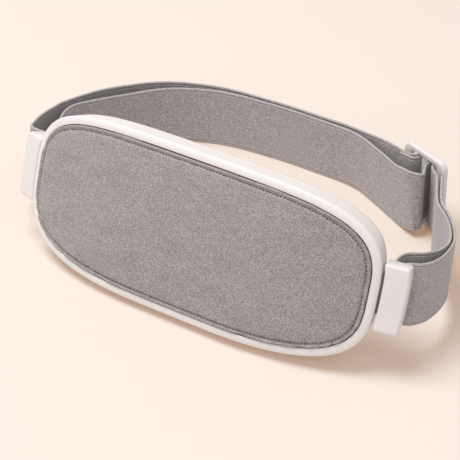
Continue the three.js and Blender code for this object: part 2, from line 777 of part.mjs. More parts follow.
const STRAP_STEPS = 40;
const LOOP_STEPS = 28;
const RING_STEPS = 60;
const strapFloor = STRAP_WIDTH / 2;
const padUp = new THREE.Vector3(0, 0, 1).transformDirection(pad.matrixWorld);
const UP = new THREE.Vector3(0, 0, 1);

function inPad(side, x, y) {
  return new THREE.Vector3(x, y, 0).applyMatrix4(endMatrix(side)).applyMatrix4(pad.matrixWorld);
}

const lugHeight = inPad(1, barX, BAR_DEPTH).z;

// Points are [across, back, rise] shares of the ring's half width, its depth and the lug's height,
// and move with the pad as far as they rise
function ringPoint([across, back, rise]) {
  return {
    at: new THREE.Vector3(
      across * RING_HALF_WIDTH + rise * PAD_ACROSS,
      back * RING_DEPTH + rise * PAD_BACK,
      strapFloor + rise * (lugHeight - strapFloor),
    ),
    lean: rise,
  };
}

function lugPoint(side, x, y) {
  return { at: inPad(side, x, y), lean: 1 };
}

function webbing(points, steps = STRAP_STEPS) {
  const curve = new THREE.CatmullRomCurve3(points.map((p) => p.at), false, 'centripetal');
  const leans = new THREE.CatmullRomCurve3(
    points.map((p, k) => new THREE.Vector3(k, p.lean, 0)),
    false,
    'centripetal',
  );
  const rows = Array.from({ length: steps + 1 }, (_, k) => {
    const t = k / steps;
    const at = curve.getPoint(t);
    at.z = Math.max(at.z, strapFloor);
    const along = curve.getTangent(t);
    const lean = Math.max(0, leans.getPoint(t).y);
    const halfWidth = (STRAP_WIDTH - STRAP_GATHER * Math.min(1, lean)) / 2;
    const up = UP.clone().lerp(padUp, lean);
    up.addScaledVector(along, -up.dot(along)).normalize();
    const out = along.clone().cross(up);
    const corner = (a, b) => at.clone()
      .addScaledVector(out, (a * STRAP_THICKNESS) / 2)
      .addScaledVector(up, b * halfWidth);
    return [corner(-1, -1), corner(1, -1), corner(1, 1), corner(-1, 1)];
  });
  return lofted(rows);
}

// Loop of webbing round a lug's bar, from its inner leg to its outer leg
const LOOP_LEG_DEPTH = 13.5;
const LOOP_TURN_STEPS = 6;
const LOOP_GAP = 0.6;
const loopHalfWidth = BAR_WIDTH / 2 + LOOP_GAP + STRAP_THICKNESS / 2;
const loopTurn = BAR_THICKNESS / 2 + LOOP_GAP + STRAP_THICKNESS / 2;
const loopFront = BAR_DEPTH - loopTurn;

function loopPoints(side) {
  const turn = (cx, from) => Array.from({ length: LOOP_TURN_STEPS + 1 }, (_, k) => {
    const angle = from + (Math.PI / 2) * (k / LOOP_TURN_STEPS);
    return lugPoint(side, cx + loopTurn * Math.cos(angle), loopFront + loopTurn + loopTurn * Math.sin(angle));
  });
  return [
    lugPoint(side, barX - loopHalfWidth, LOOP_LEG_DEPTH),
    ...turn(barX - loopHalfWidth + loopTurn, Math.PI),
    ...turn(barX + loopHalfWidth - loopTurn, Math.PI * 1.5),
    lugPoint(side, barX + loopHalfWidth, LOOP_LEG_DEPTH),
  ];
}

// Adjuster frame: T runs along the strap, N outwards, in plan
const SLIDER_ACROSS_share = 0.4;
const SLIDER_BACK_share = 0.912;
const SLIDER_TURN = THREE.MathUtils.degToRad(-21.5);
const SLIDER_SIDE_BAR = 6.4;
const SLIDER_CENTRE_BAR = 5;
const SLIDER_CENTRE_THICKNESS = 3;
const SLIDER_BEVEL = 1;
const SLIDER_CORNER = 5;
const SLOT_END_GAP = 1;
const CORNER_STEPS = 6;

const sliderCentre = new THREE.Vector3(
  SLIDER_ACROSS_share * RING_HALF_WIDTH,
  SLIDER_BACK_share * RING_DEPTH,
  SLIDER_HEIGHT / 2,
);
const sliderAlong = new THREE.Vector3(Math.cos(SLIDER_TURN), Math.sin(SLIDER_TURN), 0);
const sliderOut = new THREE.Vector3(-Math.sin(SLIDER_TURN), Math.cos(SLIDER_TURN), 0);

function sliderPoint(along, out) {
  const at = sliderCentre.clone().addScaledVector(sliderAlong, along).addScaledVector(sliderOut, out);
  return { at, lean: 0 };
}

function roundedOutline(halfWidth, halfHeight, corner) {
  const shape = new THREE.Shape();
  shape.moveTo(-halfWidth + corner, -halfHeight);
  shape.lineTo(halfWidth - corner, -halfHeight);
  shape.absarc(halfWidth - corner, -halfHeight + corner, corner, -Math.PI / 2, 0);
  shape.lineTo(halfWidth, halfHeight - corner);
  shape.absarc(halfWidth - corner, halfHeight - corner, corner, 0, Math.PI / 2);
  shape.lineTo(-halfWidth + corner, halfHeight);
  shape.absarc(-halfWidth + corner, halfHeight - corner, corner, Math.PI / 2, Math.PI);
  shape.lineTo(-halfWidth, -halfHeight + corner);
  shape.absarc(-halfWidth + corner, -halfHeight + corner, corner, Math.PI, Math.PI * 1.5);
  return shape;
}

function sliderFrame() {
  const outer = roundedOutline(
    SLIDER_LENGTH / 2 - SLIDER_BEVEL,
    SLIDER_HEIGHT / 2 - SLIDER_BEVEL,
    SLIDER_CORNER - SLIDER_BEVEL,
  );
  const plate = new THREE.ExtrudeGeometry(outer, {
    depth: SLIDER_THICKNESS - 2 * SLIDER_BEVEL,
    bevelEnabled: true,
    bevelThickness: SLIDER_BEVEL,
    bevelSize: SLIDER_BEVEL,
    bevelSegments: BEVEL_STEPS,
    curveSegments: CORNER_STEPS,
    steps: 1,
  });
  plate.rotateX(Math.PI / 2).translate(0, SLIDER_THICKNESS / 2 - SLIDER_BEVEL, 0);
  const slotHalf = STRAP_WIDTH / 2 + SLOT_END_GAP;
  const window = boxBetween(
    -SLIDER_LENGTH / 2 + SLIDER_SIDE_BAR,
    SLIDER_LENGTH / 2 - SLIDER_SIDE_BAR,
    -SLIDER_THICKNESS,
    SLIDER_THICKNESS,
    slotHalf,
  );
  const centreBar = boxBetween(
    -SLIDER_CENTRE_BAR / 2,
    SLIDER_CENTRE_BAR / 2,
    -SLIDER_CENTRE_THICKNESS / 2,
    SLIDER_CENTRE_THICKNESS / 2,
    slotHalf + SLOT_END_GAP,
  );
  const frame = join(cut(plate, window), centreBar);
  const place = new THREE.Matrix4().makeBasis(sliderAlong, sliderOut, UP).setPosition(sliderCentre);
  return frame.applyMatrix4(place);
}

// Layer centre lines near the adjuster, in its own along and out directions
const tailAlong = SLIDER_CENTRE_BAR / 2 + LOOP_GAP + STRAP_THICKNESS / 2;
const tailOut = SLIDER_CENTRE_THICKNESS / 2 + LOOP_GAP + STRAP_THICKNESS / 2;
const crossOut = tailOut + STRAP_THICKNESS + CLEARANCE;
const crossAlong = tailAlong + STRAP_THICKNESS + 2 * CLEARANCE;
const LAYER_IN = 5;
const LAYER_REACH = 22;
const TAIL_REACH = 14;
const TAIL_IN = 5.4;
const FOLD_ALONG = 11.4;
const FOLD_IN = 11.6;
const FOLD_TURN = 3;

const slotOuter = SLIDER_LENGTH / 2 - SLIDER_SIDE_BAR - STRAP_THICKNESS / 2;
const slotPass = SLIDER_THICKNESS / 2 + STRAP_THICKNESS + CLEARANCE;

const crossLeft = sliderPoint(-LAYER_REACH, -LAYER_IN);
const crossRight = sliderPoint(LAYER_REACH - LAYER_IN, -LAYER_IN - STRAP_THICKNESS);

const crossing = [
  crossLeft,
  sliderPoint(-SLIDER_LENGTH / 2, -LAYER_IN + CLEARANCE),
  sliderPoint(-slotOuter, -slotPass),
  sliderPoint(-crossAlong - CLEARANCE, 0),
  sliderPoint(-tailAlong, crossOut),
  sliderPoint(tailAlong, crossOut),
  sliderPoint(crossAlong + CLEARANCE, 0),
  sliderPoint(slotOuter, -slotPass),
  crossRight,
];

const tailLoop = [
  sliderPoint(-TAIL_REACH, -TAIL_IN - STRAP_THICKNESS),
  sliderPoint(-tailAlong - STRAP_THICKNESS, -tailOut - STRAP_THICKNESS),
  sliderPoint(-tailAlong, 0),
  sliderPoint(-tailAlong + STRAP_THICKNESS, tailOut),
  sliderPoint(tailAlong - STRAP_THICKNESS, tailOut),
  sliderPoint(tailAlong, 0),
  sliderPoint(tailAlong + CLEARANCE, -SLIDER_CENTRE_THICKNESS),
  sliderPoint((tailAlong + FOLD_ALONG) / 2, (-FOLD_IN - SLIDER_CENTRE_THICKNESS) / 2),
  sliderPoint(FOLD_ALONG, -FOLD_IN),
];
const tailFold = sliderPoint(FOLD_ALONG - FOLD_TURN, -FOLD_IN - FOLD_TURN);

// Ring stretches: [across, back, rise] shares, from the left lug round to the adjuster
const OUTER_shares = [
  [-0.898, 0.19, 0.86],
  [-0.93, 0.24, 0.8],
  [-0.962, 0.32, 0.68],
  [-0.992, 0.41, 0.5],
  [-1.016, 0.5, 0.33],
  [-0.996, 0.69, 0.1],
  [-0.935, 0.81, 0],
  [-0.82, 0.905, 0],
  [-0.62, 0.976, 0],
  [-0.365, 0.998, 0],
  [-0.15, 1, 0],
  [0.06, 0.992, 0],
];
const INNER_shares = [
  [-0.815, 0.23, 0.86],
  [-0.86, 0.295, 0.7],
  [-0.905, 0.36, 0.58],
  [-0.942, 0.425, 0.46],
  [-0.965, 0.5, 0.33],
  [-0.945, 0.635, 0.12],
  [-0.89, 0.756, 0],
  [-0.785, 0.866, 0],
  [-0.605, 0.947, 0],
  [-0.365, 0.976, 0],
  [-0.15, 0.978, 0],
  [0.05, 0.966, 0],
  [0.19, 0.913, 0],
  [0.31, 0.858, 0],
];
const RIGHT_OUTER_shares = [
  [0.822, 0.205, 0.87],
  [0.842, 0.242, 0.83],
  [0.846, 0.29, 0.77],
  [0.834, 0.36, 0.66],
];
const RIGHT_INNER_shares = [
  [0.746, 0.225, 0.88],
  [0.79, 0.28, 0.8],
  [0.81, 0.34, 0.7],
  [0.803, 0.4, 0.59],
];
const RIGHT_shares = [
  [0.79, 0.46, 0.48],
  [0.742, 0.54, 0.36],
  [0.67, 0.63, 0.22],
  [0.585, 0.715, 0.12],
];
const RIGHT_LAYER_SPREAD = 2.2;

function shifted(points, distance) {
  return points.map((p, k) => {
    const before = points[Math.max(0, k - 1)].at;
    const after = points[Math.min(points.length - 1, k + 1)].at;
    const along = after.clone().sub(before).setZ(0).normalize();
    const out = along.cross(UP).multiplyScalar(distance);
    return { at: p.at.clone().add(out), lean: p.lean };
  });
}

const leftLoop = loopPoints(-1);
const rightLoop = loopPoints(1);
const outerRing = OUTER_shares.map(ringPoint);
const innerRing = [...INNER_shares.map(ringPoint), tailFold];
const rightRing = RIGHT_shares.map(ringPoint);
const rightOuterRing = [...RIGHT_OUTER_shares.map(ringPoint), ...shifted(rightRing, RIGHT_LAYER_SPREAD / 2)];
const rightInnerRing = [...RIGHT_INNER_shares.map(ringPoint), ...shifted(rightRing, -RIGHT_LAYER_SPREAD / 2)];
const returnEnd = sliderPoint(LAYER_REACH - LAYER_IN + STRAP_THICKNESS, -LAYER_IN + STRAP_THICKNESS);

// Where a stretch takes over from a path that ends at points[0] and comes from points[1]:
// two points straight on from it, the first a clearance away
const LEAD = 1.6;

function takeover([end, before]) {
  const along = end.at.clone().sub(before.at).normalize();
  const onward = (distance) => ({ at: end.at.clone().addScaledVector(along, distance), lean: end.lean });
  return [onward(CLEARANCE), onward(CLEARANCE + LEAD)];
}

const lastTwo = (points) => points.slice(-2).reverse();

function stretch(start, middle, end = null) {
  return [...takeover(start), ...middle, ...(end ? takeover(end).reverse() : [])];
}

const outerPath = stretch(lastTwo(leftLoop), outerRing, crossing);
const innerPath = stretch(leftLoop, innerRing, lastTwo(tailLoop));
const rightInnerPath = stretch(rightLoop, rightInnerRing, lastTwo(crossing));
const rightOuterPath = [...stretch(lastTwo(rightLoop), rightOuterRing), returnEnd];

const strap = new THREE.Group();
strap.add(
  piece('strap_loop_left', webbing(leftLoop, LOOP_STEPS), COLOURS.webbing),
  piece('strap_loop_right', webbing(rightLoop, LOOP_STEPS), COLOURS.webbing),
  piece('strap_outer', webbing(outerPath, RING_STEPS), COLOURS.webbing),
  piece('strap_inner', webbing(innerPath, RING_STEPS), COLOURS.webbing),
  piece('strap_right_inner', webbing(rightInnerPath), COLOURS.webbing),
  piece('strap_right_outer', webbing(rightOuterPath), COLOURS.webbing),
  piece('strap_crossing', webbing(crossing), COLOURS.webbing),
  piece('strap_tail', webbing(tailLoop), COLOURS.webbing),
  piece('strap_slider', sliderFrame(), COLOURS.white),
);

// The belt's origin is under the middle of its box, on the surface that it stands on
const belt = new THREE.Group();
belt.add(pad, strap);
belt.updateMatrixWorld(true);
const reach = new THREE.Box3().setFromObject(belt, true);
belt.position.set(-(reach.min.x + reach.max.x) / 2, -(reach.min.y + reach.max.y) / 2, -reach.min.z);

export default belt;
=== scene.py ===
"""Heated waist belt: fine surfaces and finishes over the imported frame.

An oval heating pad sits in a slim white housing, with hinged end lugs and a doubled elastic
strap whose adjuster is at the back right. Metres, +Z up. Each piece has its own operator.
"""

import math

import bpy
import numpy as np
from mathutils import Matrix, Vector


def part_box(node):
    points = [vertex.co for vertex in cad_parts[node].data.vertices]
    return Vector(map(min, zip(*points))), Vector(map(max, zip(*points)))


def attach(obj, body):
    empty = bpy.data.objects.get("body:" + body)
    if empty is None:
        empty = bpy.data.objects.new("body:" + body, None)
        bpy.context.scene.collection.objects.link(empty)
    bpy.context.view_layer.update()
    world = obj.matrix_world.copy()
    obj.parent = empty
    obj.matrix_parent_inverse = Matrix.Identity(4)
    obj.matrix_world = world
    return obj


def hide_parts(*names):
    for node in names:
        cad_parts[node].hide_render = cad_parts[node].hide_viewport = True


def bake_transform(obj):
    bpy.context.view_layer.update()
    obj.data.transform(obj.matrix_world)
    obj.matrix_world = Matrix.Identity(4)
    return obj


bl_info = {
    "name": "Heated waist belt",
    "version": (1, 0, 0),
    "blender": (4, 5, 0),
    "location": "View3D > Sidebar > Heated belt",
    "description": "Builds a heated waist belt with plush, webbing and moulded plastic finishes",
    "category": "Object",
}

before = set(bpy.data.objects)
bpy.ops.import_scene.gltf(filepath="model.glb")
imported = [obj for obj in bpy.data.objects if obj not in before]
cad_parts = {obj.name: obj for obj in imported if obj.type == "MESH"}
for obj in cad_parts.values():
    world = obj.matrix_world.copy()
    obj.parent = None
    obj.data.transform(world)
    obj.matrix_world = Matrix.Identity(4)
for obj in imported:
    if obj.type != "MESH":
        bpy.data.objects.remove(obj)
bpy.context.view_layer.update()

MM = 0.001


def node_middle(name):
    """Middle of a node's box in the frame."""
    low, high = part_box(name)
    return (np.array(low) + np.array(high)) / 2


# Pad, in its own frame: X along it, depth from front to rear, Z up its face
COVER_LENGTH = 104.6 * MM
COVER_HEIGHT = 41.1 * MM
OUTLINE_POWER = 3.5
RIM_WIDTH = 4.6 * MM
RIM_DRAFT = 0.1 * MM
PAD_BEND = 12.0 * MM
BEND_FLAT = 26.0 * MM
PAD_LEAN = math.radians(18)
BOARD_DEPTH = 13.7 * MM
BOARD_Z = -16.0 * MM
PAD_ORIGIN = node_middle("control_board") - np.array([
    0.0,
    BOARD_DEPTH * math.cos(PAD_LEAN) + BOARD_Z * math.sin(PAD_LEAN),
    BOARD_Z * math.cos(PAD_LEAN) - BOARD_DEPTH * math.sin(PAD_LEAN),
])
PAD_SHIFT = np.array([-3.4, 5.2, 0.0]) * MM
FLOOR_SHIFT = PAD_ORIGIN * np.array([1.0, 1.0, 0.0]) - PAD_SHIFT
RECESS_DEPTH = 5.0 * MM
FLOOR_REAR = 6.6 * MM
SHELL_WALL = 2.0 * MM
PARTING = 10.0 * MM
HOUSING_DEPTH = 22.0 * MM
FULL_FROM = 0.62
BOSS_FOOT = RECESS_DEPTH + 0.9 * MM
GAP = 0.3 * MM
OVERRUN = 2.0 * MM

# Screw bosses, board pegs, screws, keys, light window and charging socket
BOSS_TOP = 15.5 * MM
BOSS_RADIUS = 3.0 * MM
SHANK_BORE = 1.5 * MM
POST_RADIUS = 4.1 * MM
POST_REAR = 20.4 * MM
HEAD_SEAT = 18.0 * MM
HEAD_REAR = 19.6 * MM
HEAD_RADIUS = 2.4 * MM
SHANK_RADIUS = 1.2 * MM
PEG_X = (30 * MM, -30 * MM)
PEG_Z = (-33 * MM, 1 * MM)
PEG_RADIUS = 2.2 * MM
PEG_TOP = 12.6 * MM
KEYS = ("massage", "power", "heat")
KEY_SPACING = 20 * MM
KEY_Z = -6 * MM
KEY_RADIUS = 5.5 * MM
KEY_ROOM = 0.35 * MM
KEY_FACE = 23.2 * MM
FLANGE_RADIUS = 6.9 * MM
FLANGE_FRONT = 18.7 * MM
FLANGE_REAR = 19.7 * MM
WINDOW_Z = 10 * MM
PORT_DEPTH = 16.4 * MM
PORT_OPENING = (-54 * MM, -36.5 * MM)

# Plush cover: its seam, the roll outside the seam, and the stitches' half sizes
SEAM_INSET = 2.4 * MM
SEAM_DEPTH = 0.8 * MM
SEAM_WIDTH = 0.65 * MM
ROLL_INSET = 0.4 * MM
ROLL_HEIGHT = 1.2 * MM
ROLL_WIDTH = 1.15 * MM
CLOTH_FRAMES = 20
STITCH_COUNT = 250
STITCH_HALVES = (0.72 * MM, 0.3 * MM, 0.28 * MM)

# Ends of the pad: pins, tongues and lugs, in an end frame whose X points outwards
END_X = COVER_LENGTH + RIM_WIDTH + RIM_DRAFT
HINGE_X = -8.6 * MM
HINGE_DEPTH = 10.2 * MM
PIN_BORE = 1.8 * MM
PIN_REACH = 14.7 * MM
EAR_INNER = 11.5 * MM
EAR_THICKNESS = 3.0 * MM
EAR_HALF_WIDTH = 2.9 * MM
EAR_TOP = 13.1 * MM
BARREL_RADIUS = 3.0 * MM
BARREL_ROOM = 1.1 * MM
TONGUE_HALF_HEIGHT = 11.0 * MM
TONGUE_HALF_THICKNESS = 1.8 * MM
TONGUE_SWING_ROOM = 4.0 * MM
TONGUE_OVERLAP = 0.8 * MM
LUG_INNER = 1.2 * MM
LUG_OUTER = 14.4 * MM
LUG_FRONT = 0.6 * MM
LUG_REAR = 10.6 * MM
LUG_HALF_HEIGHT = 18.1 * MM
LUG_WALLS = {"inner": 1.6 * MM, "outer": 3.4 * MM, "end": 1.2 * MM}
BAR_X = 6.9 * MM
BAR_DEPTH = 8.0 * MM
BAR_HALF_LENGTH = 17.5 * MM
BAR_HALF_WIDTH = 1.7 * MM
BAR_HALF_THICKNESS = 1.2 * MM

# Webbing and adjuster; BLEND_FROM and BLEND_TO are distances inside the adjuster, listed in the
# webbing's blends
WEBBING_WIDTH = 37.0 * MM
WEBBING_GATHER = 3.4 * MM
WEBBING_THICKNESS = 1.4 * MM
RING_HALF_WIDTH = 145 * MM
RING_DEPTH = 168 * MM
LAYER_SPREAD = 2.2 * MM
LOOP_GAP = 0.6 * MM
LOOP_HALF_WIDTH = BAR_HALF_WIDTH + LOOP_GAP + WEBBING_THICKNESS / 2
LOOP_TURN = BAR_HALF_THICKNESS + LOOP_GAP + WEBBING_THICKNESS / 2
LOOP_LEGS = (13.5 * MM, 15.4 * MM)
ADJUSTER_CENTRE = node_middle("strap_slider")
ADJUSTER_TURN = math.radians(-21.5)
ADJUSTER_LENGTH = 35.0 * MM
ADJUSTER_HEIGHT = 46.0 * MM
ADJUSTER_THICKNESS = 4.0 * MM
ADJUSTER_SIDE_BAR = 6.4 * MM
ADJUSTER_RAIL = 3.5 * MM
ADJUSTER_OUTER_CORNER = 5.5 * MM
ADJUSTER_INNER_CORNER = 1.2 * MM
ADJUSTER_BAR_REACH = 20.2 * MM
BLEND_FROM = 18 * MM
BLEND_TO = 6.5 * MM

# Photograph's viewpoint, and the floor
VIEW_AZIMUTH = math.radians(34.32)
VIEW_ELEVATION = math.radians(33.09)
VIEW_PLACE = Vector(np.array([471.1, -646.8, 576.1]) * MM + FLOOR_SHIFT)
VIEW_LENS = 145.36
FLOOR_REACH = 6.0
FLOOR_DROP = 0.2 * MM

SIDES = (1, -1)
ROUND = 40

# Path of the tape. Round the ring its points are (across, back, rise): shares of the ring's half width
# and depth, and how far it has risen from the floor to the lugs' bars, by which it also leans and
# moves with the pad. In the adjuster they are (along, out) in millimetres
OUTER_RING = (
    (-0.898, 0.19, 0.86), (-0.93, 0.24, 0.8), (-0.962, 0.32, 0.68), (-0.992, 0.41, 0.5),
    (-1.016, 0.5, 0.33), (-0.996, 0.69, 0.1), (-0.935, 0.81, 0), (-0.82, 0.905, 0),
    (-0.62, 0.976, 0), (-0.365, 0.998, 0), (-0.15, 1, 0), (0.06, 0.992, 0),
)
INNER_RING = (
    (-0.815, 0.23, 0.86), (-0.86, 0.295, 0.7), (-0.905, 0.36, 0.58), (-0.942, 0.425, 0.46),
    (-0.965, 0.5, 0.33), (-0.945, 0.635, 0.12), (-0.89, 0.756, 0), (-0.785, 0.866, 0),
    (-0.605, 0.947, 0), (-0.365, 0.976, 0), (-0.15, 0.978, 0), (0.05, 0.966, 0),
    (0.19, 0.913, 0), (0.31, 0.858, 0),
)
RIGHT_OUTER = ((0.822, 0.205, 0.87), (0.842, 0.242, 0.83), (0.846, 0.29, 0.77), (0.834, 0.36, 0.66))
RIGHT_INNER = ((0.746, 0.225, 0.88), (0.79, 0.28, 0.8), (0.81, 0.34, 0.7), (0.803, 0.4, 0.59))
RIGHT_BOTH = ((0.79, 0.46, 0.48), (0.742, 0.54, 0.36), (0.67, 0.63, 0.22), (0.585, 0.715, 0.12))
SEWN_END = (
    (-14, -6.8), (-5.2, -4.2), (-3.8, 0), (-2.4, 2.8), (2.4, 2.8),
    (3.8, 0), (4.1, -3), (7.6, -7.3), (11.4, -11.6), (8.4, -14.6),
)
CROSSING = (
    (-22, -5), (-17.5, -4.7), (-10.4, -3.7), (-6.1, 0), (-3.8, 4.5),
    (3.8, 4.5), (6.1, 0), (10.4, -3.7), (17, -6.4),
)
RETURN_END = ((18.4, -3.6),)


# Numbers and grids


def superellipse_radius(angle, power=OUTLINE_POWER):
    """Radius of the unit superellipse: (|cos|^p + |sin|^p)^(-1/p)."""
    return (np.abs(np.cos(angle)) ** power + np.abs(np.sin(angle)) ** power) ** (-1 / power)


def bend_depth(x):
    """Depth by which the pad falls back at x: bend * ((|x| - flat) / (length - flat))^2."""
    past = np.maximum(0, np.abs(x) - BEND_FLAT)
    return PAD_BEND * (past / (COVER_LENGTH - BEND_FLAT)) ** 2


def bend_angle(x):
    """Angle of that curve: atan of its slope."""
    past = np.maximum(0, np.abs(x) - BEND_FLAT)
    return np.arctan(np.sign(x) * 2 * PAD_BEND * past / (COVER_LENGTH - BEND_FLAT) ** 2)


def bent(x, depth, z):
    """Points square to the bent pad at x: (x - depth sin a, fall + depth cos a, z)."""
    angle = bend_angle(x)
    depth = np.broadcast_to(depth, np.shape(x))
    z = np.broadcast_to(z, np.shape(x))
    return np.stack([x - depth * np.sin(angle), bend_depth(x) + depth * np.cos(angle), z], axis=-1)


def pad_place(points):
    """Pad frame to the shared frame: turned about X by the lean, then moved to the pad's origin."""
    sine, cosine = math.sin(PAD_LEAN), math.cos(PAD_LEAN)
    x, y, z = np.moveaxis(np.asarray(points, float), -1, 0)
    return np.stack([x, y * cosine + z * sine, z * cosine - y * sine], axis=-1) + PAD_ORIGIN


def pad_unplace(points):
    """Shared frame to the pad frame, the other way round."""
    sine, cosine = math.sin(PAD_LEAN), math.cos(PAD_LEAN)
    x, y, z = np.moveaxis(np.asarray(points, float) - PAD_ORIGIN, -1, 0)
    return np.stack([x, y * cosine - z * sine, y * sine + z * cosine], axis=-1)


def end_place(points, side):
    """End frame to the shared frame: turned by the bend's angle, moved to the end, and mirrored for
    the left."""
    angle = float(bend_angle(np.array(END_X)))
    sine, cosine = math.sin(angle), math.cos(angle)
    x, y, z = np.moveaxis(np.asarray(points, float), -1, 0)
    across = side * (END_X + x * cosine - y * sine)
    depth = float(bend_depth(np.array(END_X))) + x * sine + y * cosine
    return pad_place(np.stack([across, depth, z], axis=-1))


def end_rise(z):
    """How far the housing's end draws in at height z on its face."""
    reach = COVER_HEIGHT + RIM_WIDTH + RIM_DRAFT
    return END_X * ((1 - np.minimum(1, np.abs(z) / reach) ** OUTLINE_POWER) ** (1 / OUTLINE_POWER) - 1)


def rounded(profile, radius, steps=5):
    """Profile with each inner corner p replaced by (1-t)^2 a + 2t(1-t) p + t^2 b, with a and b a
    radius away."""
    profile = np.asarray(profile, float)
    corner, before, after = profile[1:-1], profile[:-2], profile[2:]
    radius = np.broadcast_to(radius, len(corner))[:, None]

    def towards(other):
        step = other - corner
        span = np.linalg.norm(step, axis=1, keepdims=True)
        return corner + step * np.minimum(radius / np.maximum(span, 1e-9), 0.48)

    t = np.linspace(0, 1, steps + 1)[None, :, None]
    start, end = towards(before)[:, None], towards(after)[:, None]
    arcs = (1 - t) ** 2 * start + 2 * t * (1 - t) * corner[:, None] + t**2 * end
    return np.concatenate([profile[:1], arcs.reshape(-1, profile.shape[1]), profile[-1:]])


def outline_rows(profile, around=384):
    """Rows of the pad's outline. A profile row is (share, grow, depth): the superellipse with half
    axes share * size + grow, carried square to the bend at that depth. Two more values, where given,
    are added to grow and depth by the fullness of the ends: (|x| share - 0.62) / 0.38."""
    angle = np.linspace(0, 2 * np.pi, around, endpoint=False)
    radius = superellipse_radius(angle)
    profile = np.asarray(profile, float)
    if profile.shape[1] == 3:
        profile = np.pad(profile, ((0, 0), (0, 2)))
    share, grow, depth, end_grow, end_depth = profile.T[:, :, None]
    fullness = np.maximum(0, (np.abs(radius * np.cos(angle)) - FULL_FROM) / (1 - FULL_FROM))
    grow, depth = grow + end_grow * fullness, depth + end_depth * fullness
    x = (share * COVER_LENGTH + grow) * radius * np.cos(angle)
    z = (share * COVER_HEIGHT + grow) * radius * np.sin(angle)
    return pad_place(bent(x, depth, z))


def grid_faces(rows, around, wrap_rows=False):
    """Quads of a grid that runs around, and from row to row, or round again to the first row."""
    r = np.arange(rows if wrap_rows else rows - 1)[:, None]
    k = np.arange(around)[None, :]
    side, onward = (k + 1) % around, (r + 1) % rows
    quads = [r * around + k, r * around + side, onward * around + side, onward * around + k]
    return np.stack([np.broadcast_to(q, (len(r), around)) for q in quads], axis=-1).reshape(-1, 4)


def signed_volume(points, faces):
    """Sum of a . (b x c) / 6 over the faces' triangles; a face of four sides counts as two."""
    a, b, c = (points[faces[:, k]] for k in range(3))
    volume = np.einsum("ij,ij->", a, np.cross(b, c))
    if faces.shape[1] == 4:
        d = points[faces[:, 3]]
        volume += np.einsum("ij,ij->", a, np.cross(c, d))
    return volume / 6


class Form:
    """Points and faces of closed surfaces that go into one mesh, with texture places where given."""

    def __init__(self):
        self.points, self.faces, self.places = [], [], []
        self.count = 0

    def add(self, points, face_sets, place_sets=None):
        """One closed surface; its faces are turned round if its volume comes out negative."""
        volume = sum(signed_volume(points, faces) for faces in face_sets)
        for k, faces in enumerate(face_sets):
            places = None if place_sets is None else place_sets[k]
            if volume < 0:
                faces = faces[:, ::-1]
                places = None if places is None else places[:, ::-1]
            self.faces.append(faces + self.count)
            self.places.append(places)
        self.points.append(points)
        self.count += len(points)
        return self

    def mesh(self, name, sharp=40):
        """A mesh of all that was added, with sharp edges from an angle in degrees."""
        mesh = bpy.data.meshes.new(name)
        polygons = [polygon for faces in self.faces for polygon in faces.tolist()]
        mesh.from_pydata(np.concatenate(self.points), [], polygons)
        if self.places[0] is not None:
            layer = mesh.uv_layers.new(name="tape")
            flat = np.concatenate([places.reshape(-1, 2) for places in self.places])
            layer.data.foreach_set("uv", flat.astype(np.float32).ravel())
        finish_shading(mesh, sharp)
        return mesh


def finish_shading(mesh, sharp):
    """Smooth shading that breaks at edges sharper than an angle in degrees."""
    mesh.shade_smooth()
    mesh.set_sharp_from_angle(angle=math.radians(sharp))
    mesh.update()


def closed_rows(rows):
    """Points and faces of rows (n, around, 3) joined by quads, each end closed by triangles to the
    mean of its row."""
    count, around = rows.shape[:2]
    points = np.concatenate([rows.reshape(-1, 3), rows[:1].mean(axis=1), rows[-1:].mean(axis=1)])
    k = np.arange(around)
    side = (k + 1) % around
    middle, last = count * around, (count - 1) * around
    start = np.stack([np.full(around, middle), side, k], axis=1)
    end = np.stack([np.full(around, middle + 1), k + last, side + last], axis=1)
    return points, [grid_faces(count, around), start, end]


def lofted(form, rows):
    """Adds rows as one closed surface."""
    return form.add(*closed_rows(rows))


def ringed(form, rows):
    """Rows (n, around, 3) that close both ways."""
    count, around = rows.shape[:2]
    return form.add(rows.reshape(-1, 3), [grid_faces(count, around, wrap_rows=True)])


def block_form(form, low, high, place):
    """A box between two corners, with its eight corners carried by place."""
    low, high = np.asarray(low), np.asarray(high)
    square = [(0, 0), (1, 0), (1, 1), (0, 1)]
    corners = np.array([(x, y, z) for z in (0, 1) for x, y in square])
    sides = [(k, (k + 1) % 4, (k + 1) % 4 + 4, k + 4) for k in range(4)]
    faces = np.array([(0, 3, 2, 1), (4, 5, 6, 7), *sides])
    return form.add(place(low + corners * (high - low)), [faces])


def turned(form, profile, place, sides=ROUND, axis="depth"):
    """A profile of (radius, position) carried round an axis: radius (cos, sin) square to it."""
    angle = np.linspace(0, 2 * np.pi, sides, endpoint=False)
    radius, position = np.asarray(profile, float).T[:, :, None]
    a, b = radius * np.cos(angle), radius * np.sin(angle)
    c = np.broadcast_to(position, a.shape)
    rows = {"depth": (a, c, b), "height": (a, b, c)}[axis]
    return lofted(form, place(np.stack(rows, axis=-1)))


def bar_form(form, radius, start, end, place, sides=ROUND, axis="depth"):
    """A round bar."""
    return turned(form, [(radius, start), (radius, end)], place, sides, axis)


def rounded_rectangle(half_width, half_height, corner, steps=8):
    """Closed outline (n, 2): quarter arcs of the corner's radius round the four corners."""
    t = np.linspace(0, np.pi / 2, steps + 1)
    arcs = []
    for quarter, (sx, sy) in enumerate(((1, 1), (-1, 1), (-1, -1), (1, -1))):
        angle = t + quarter * np.pi / 2
        arcs.append(np.stack([
            sx * (half_width - corner) + corner * np.cos(angle),
            sy * (half_height - corner) + corner * np.sin(angle),
        ], axis=1))
    return np.concatenate(arcs)


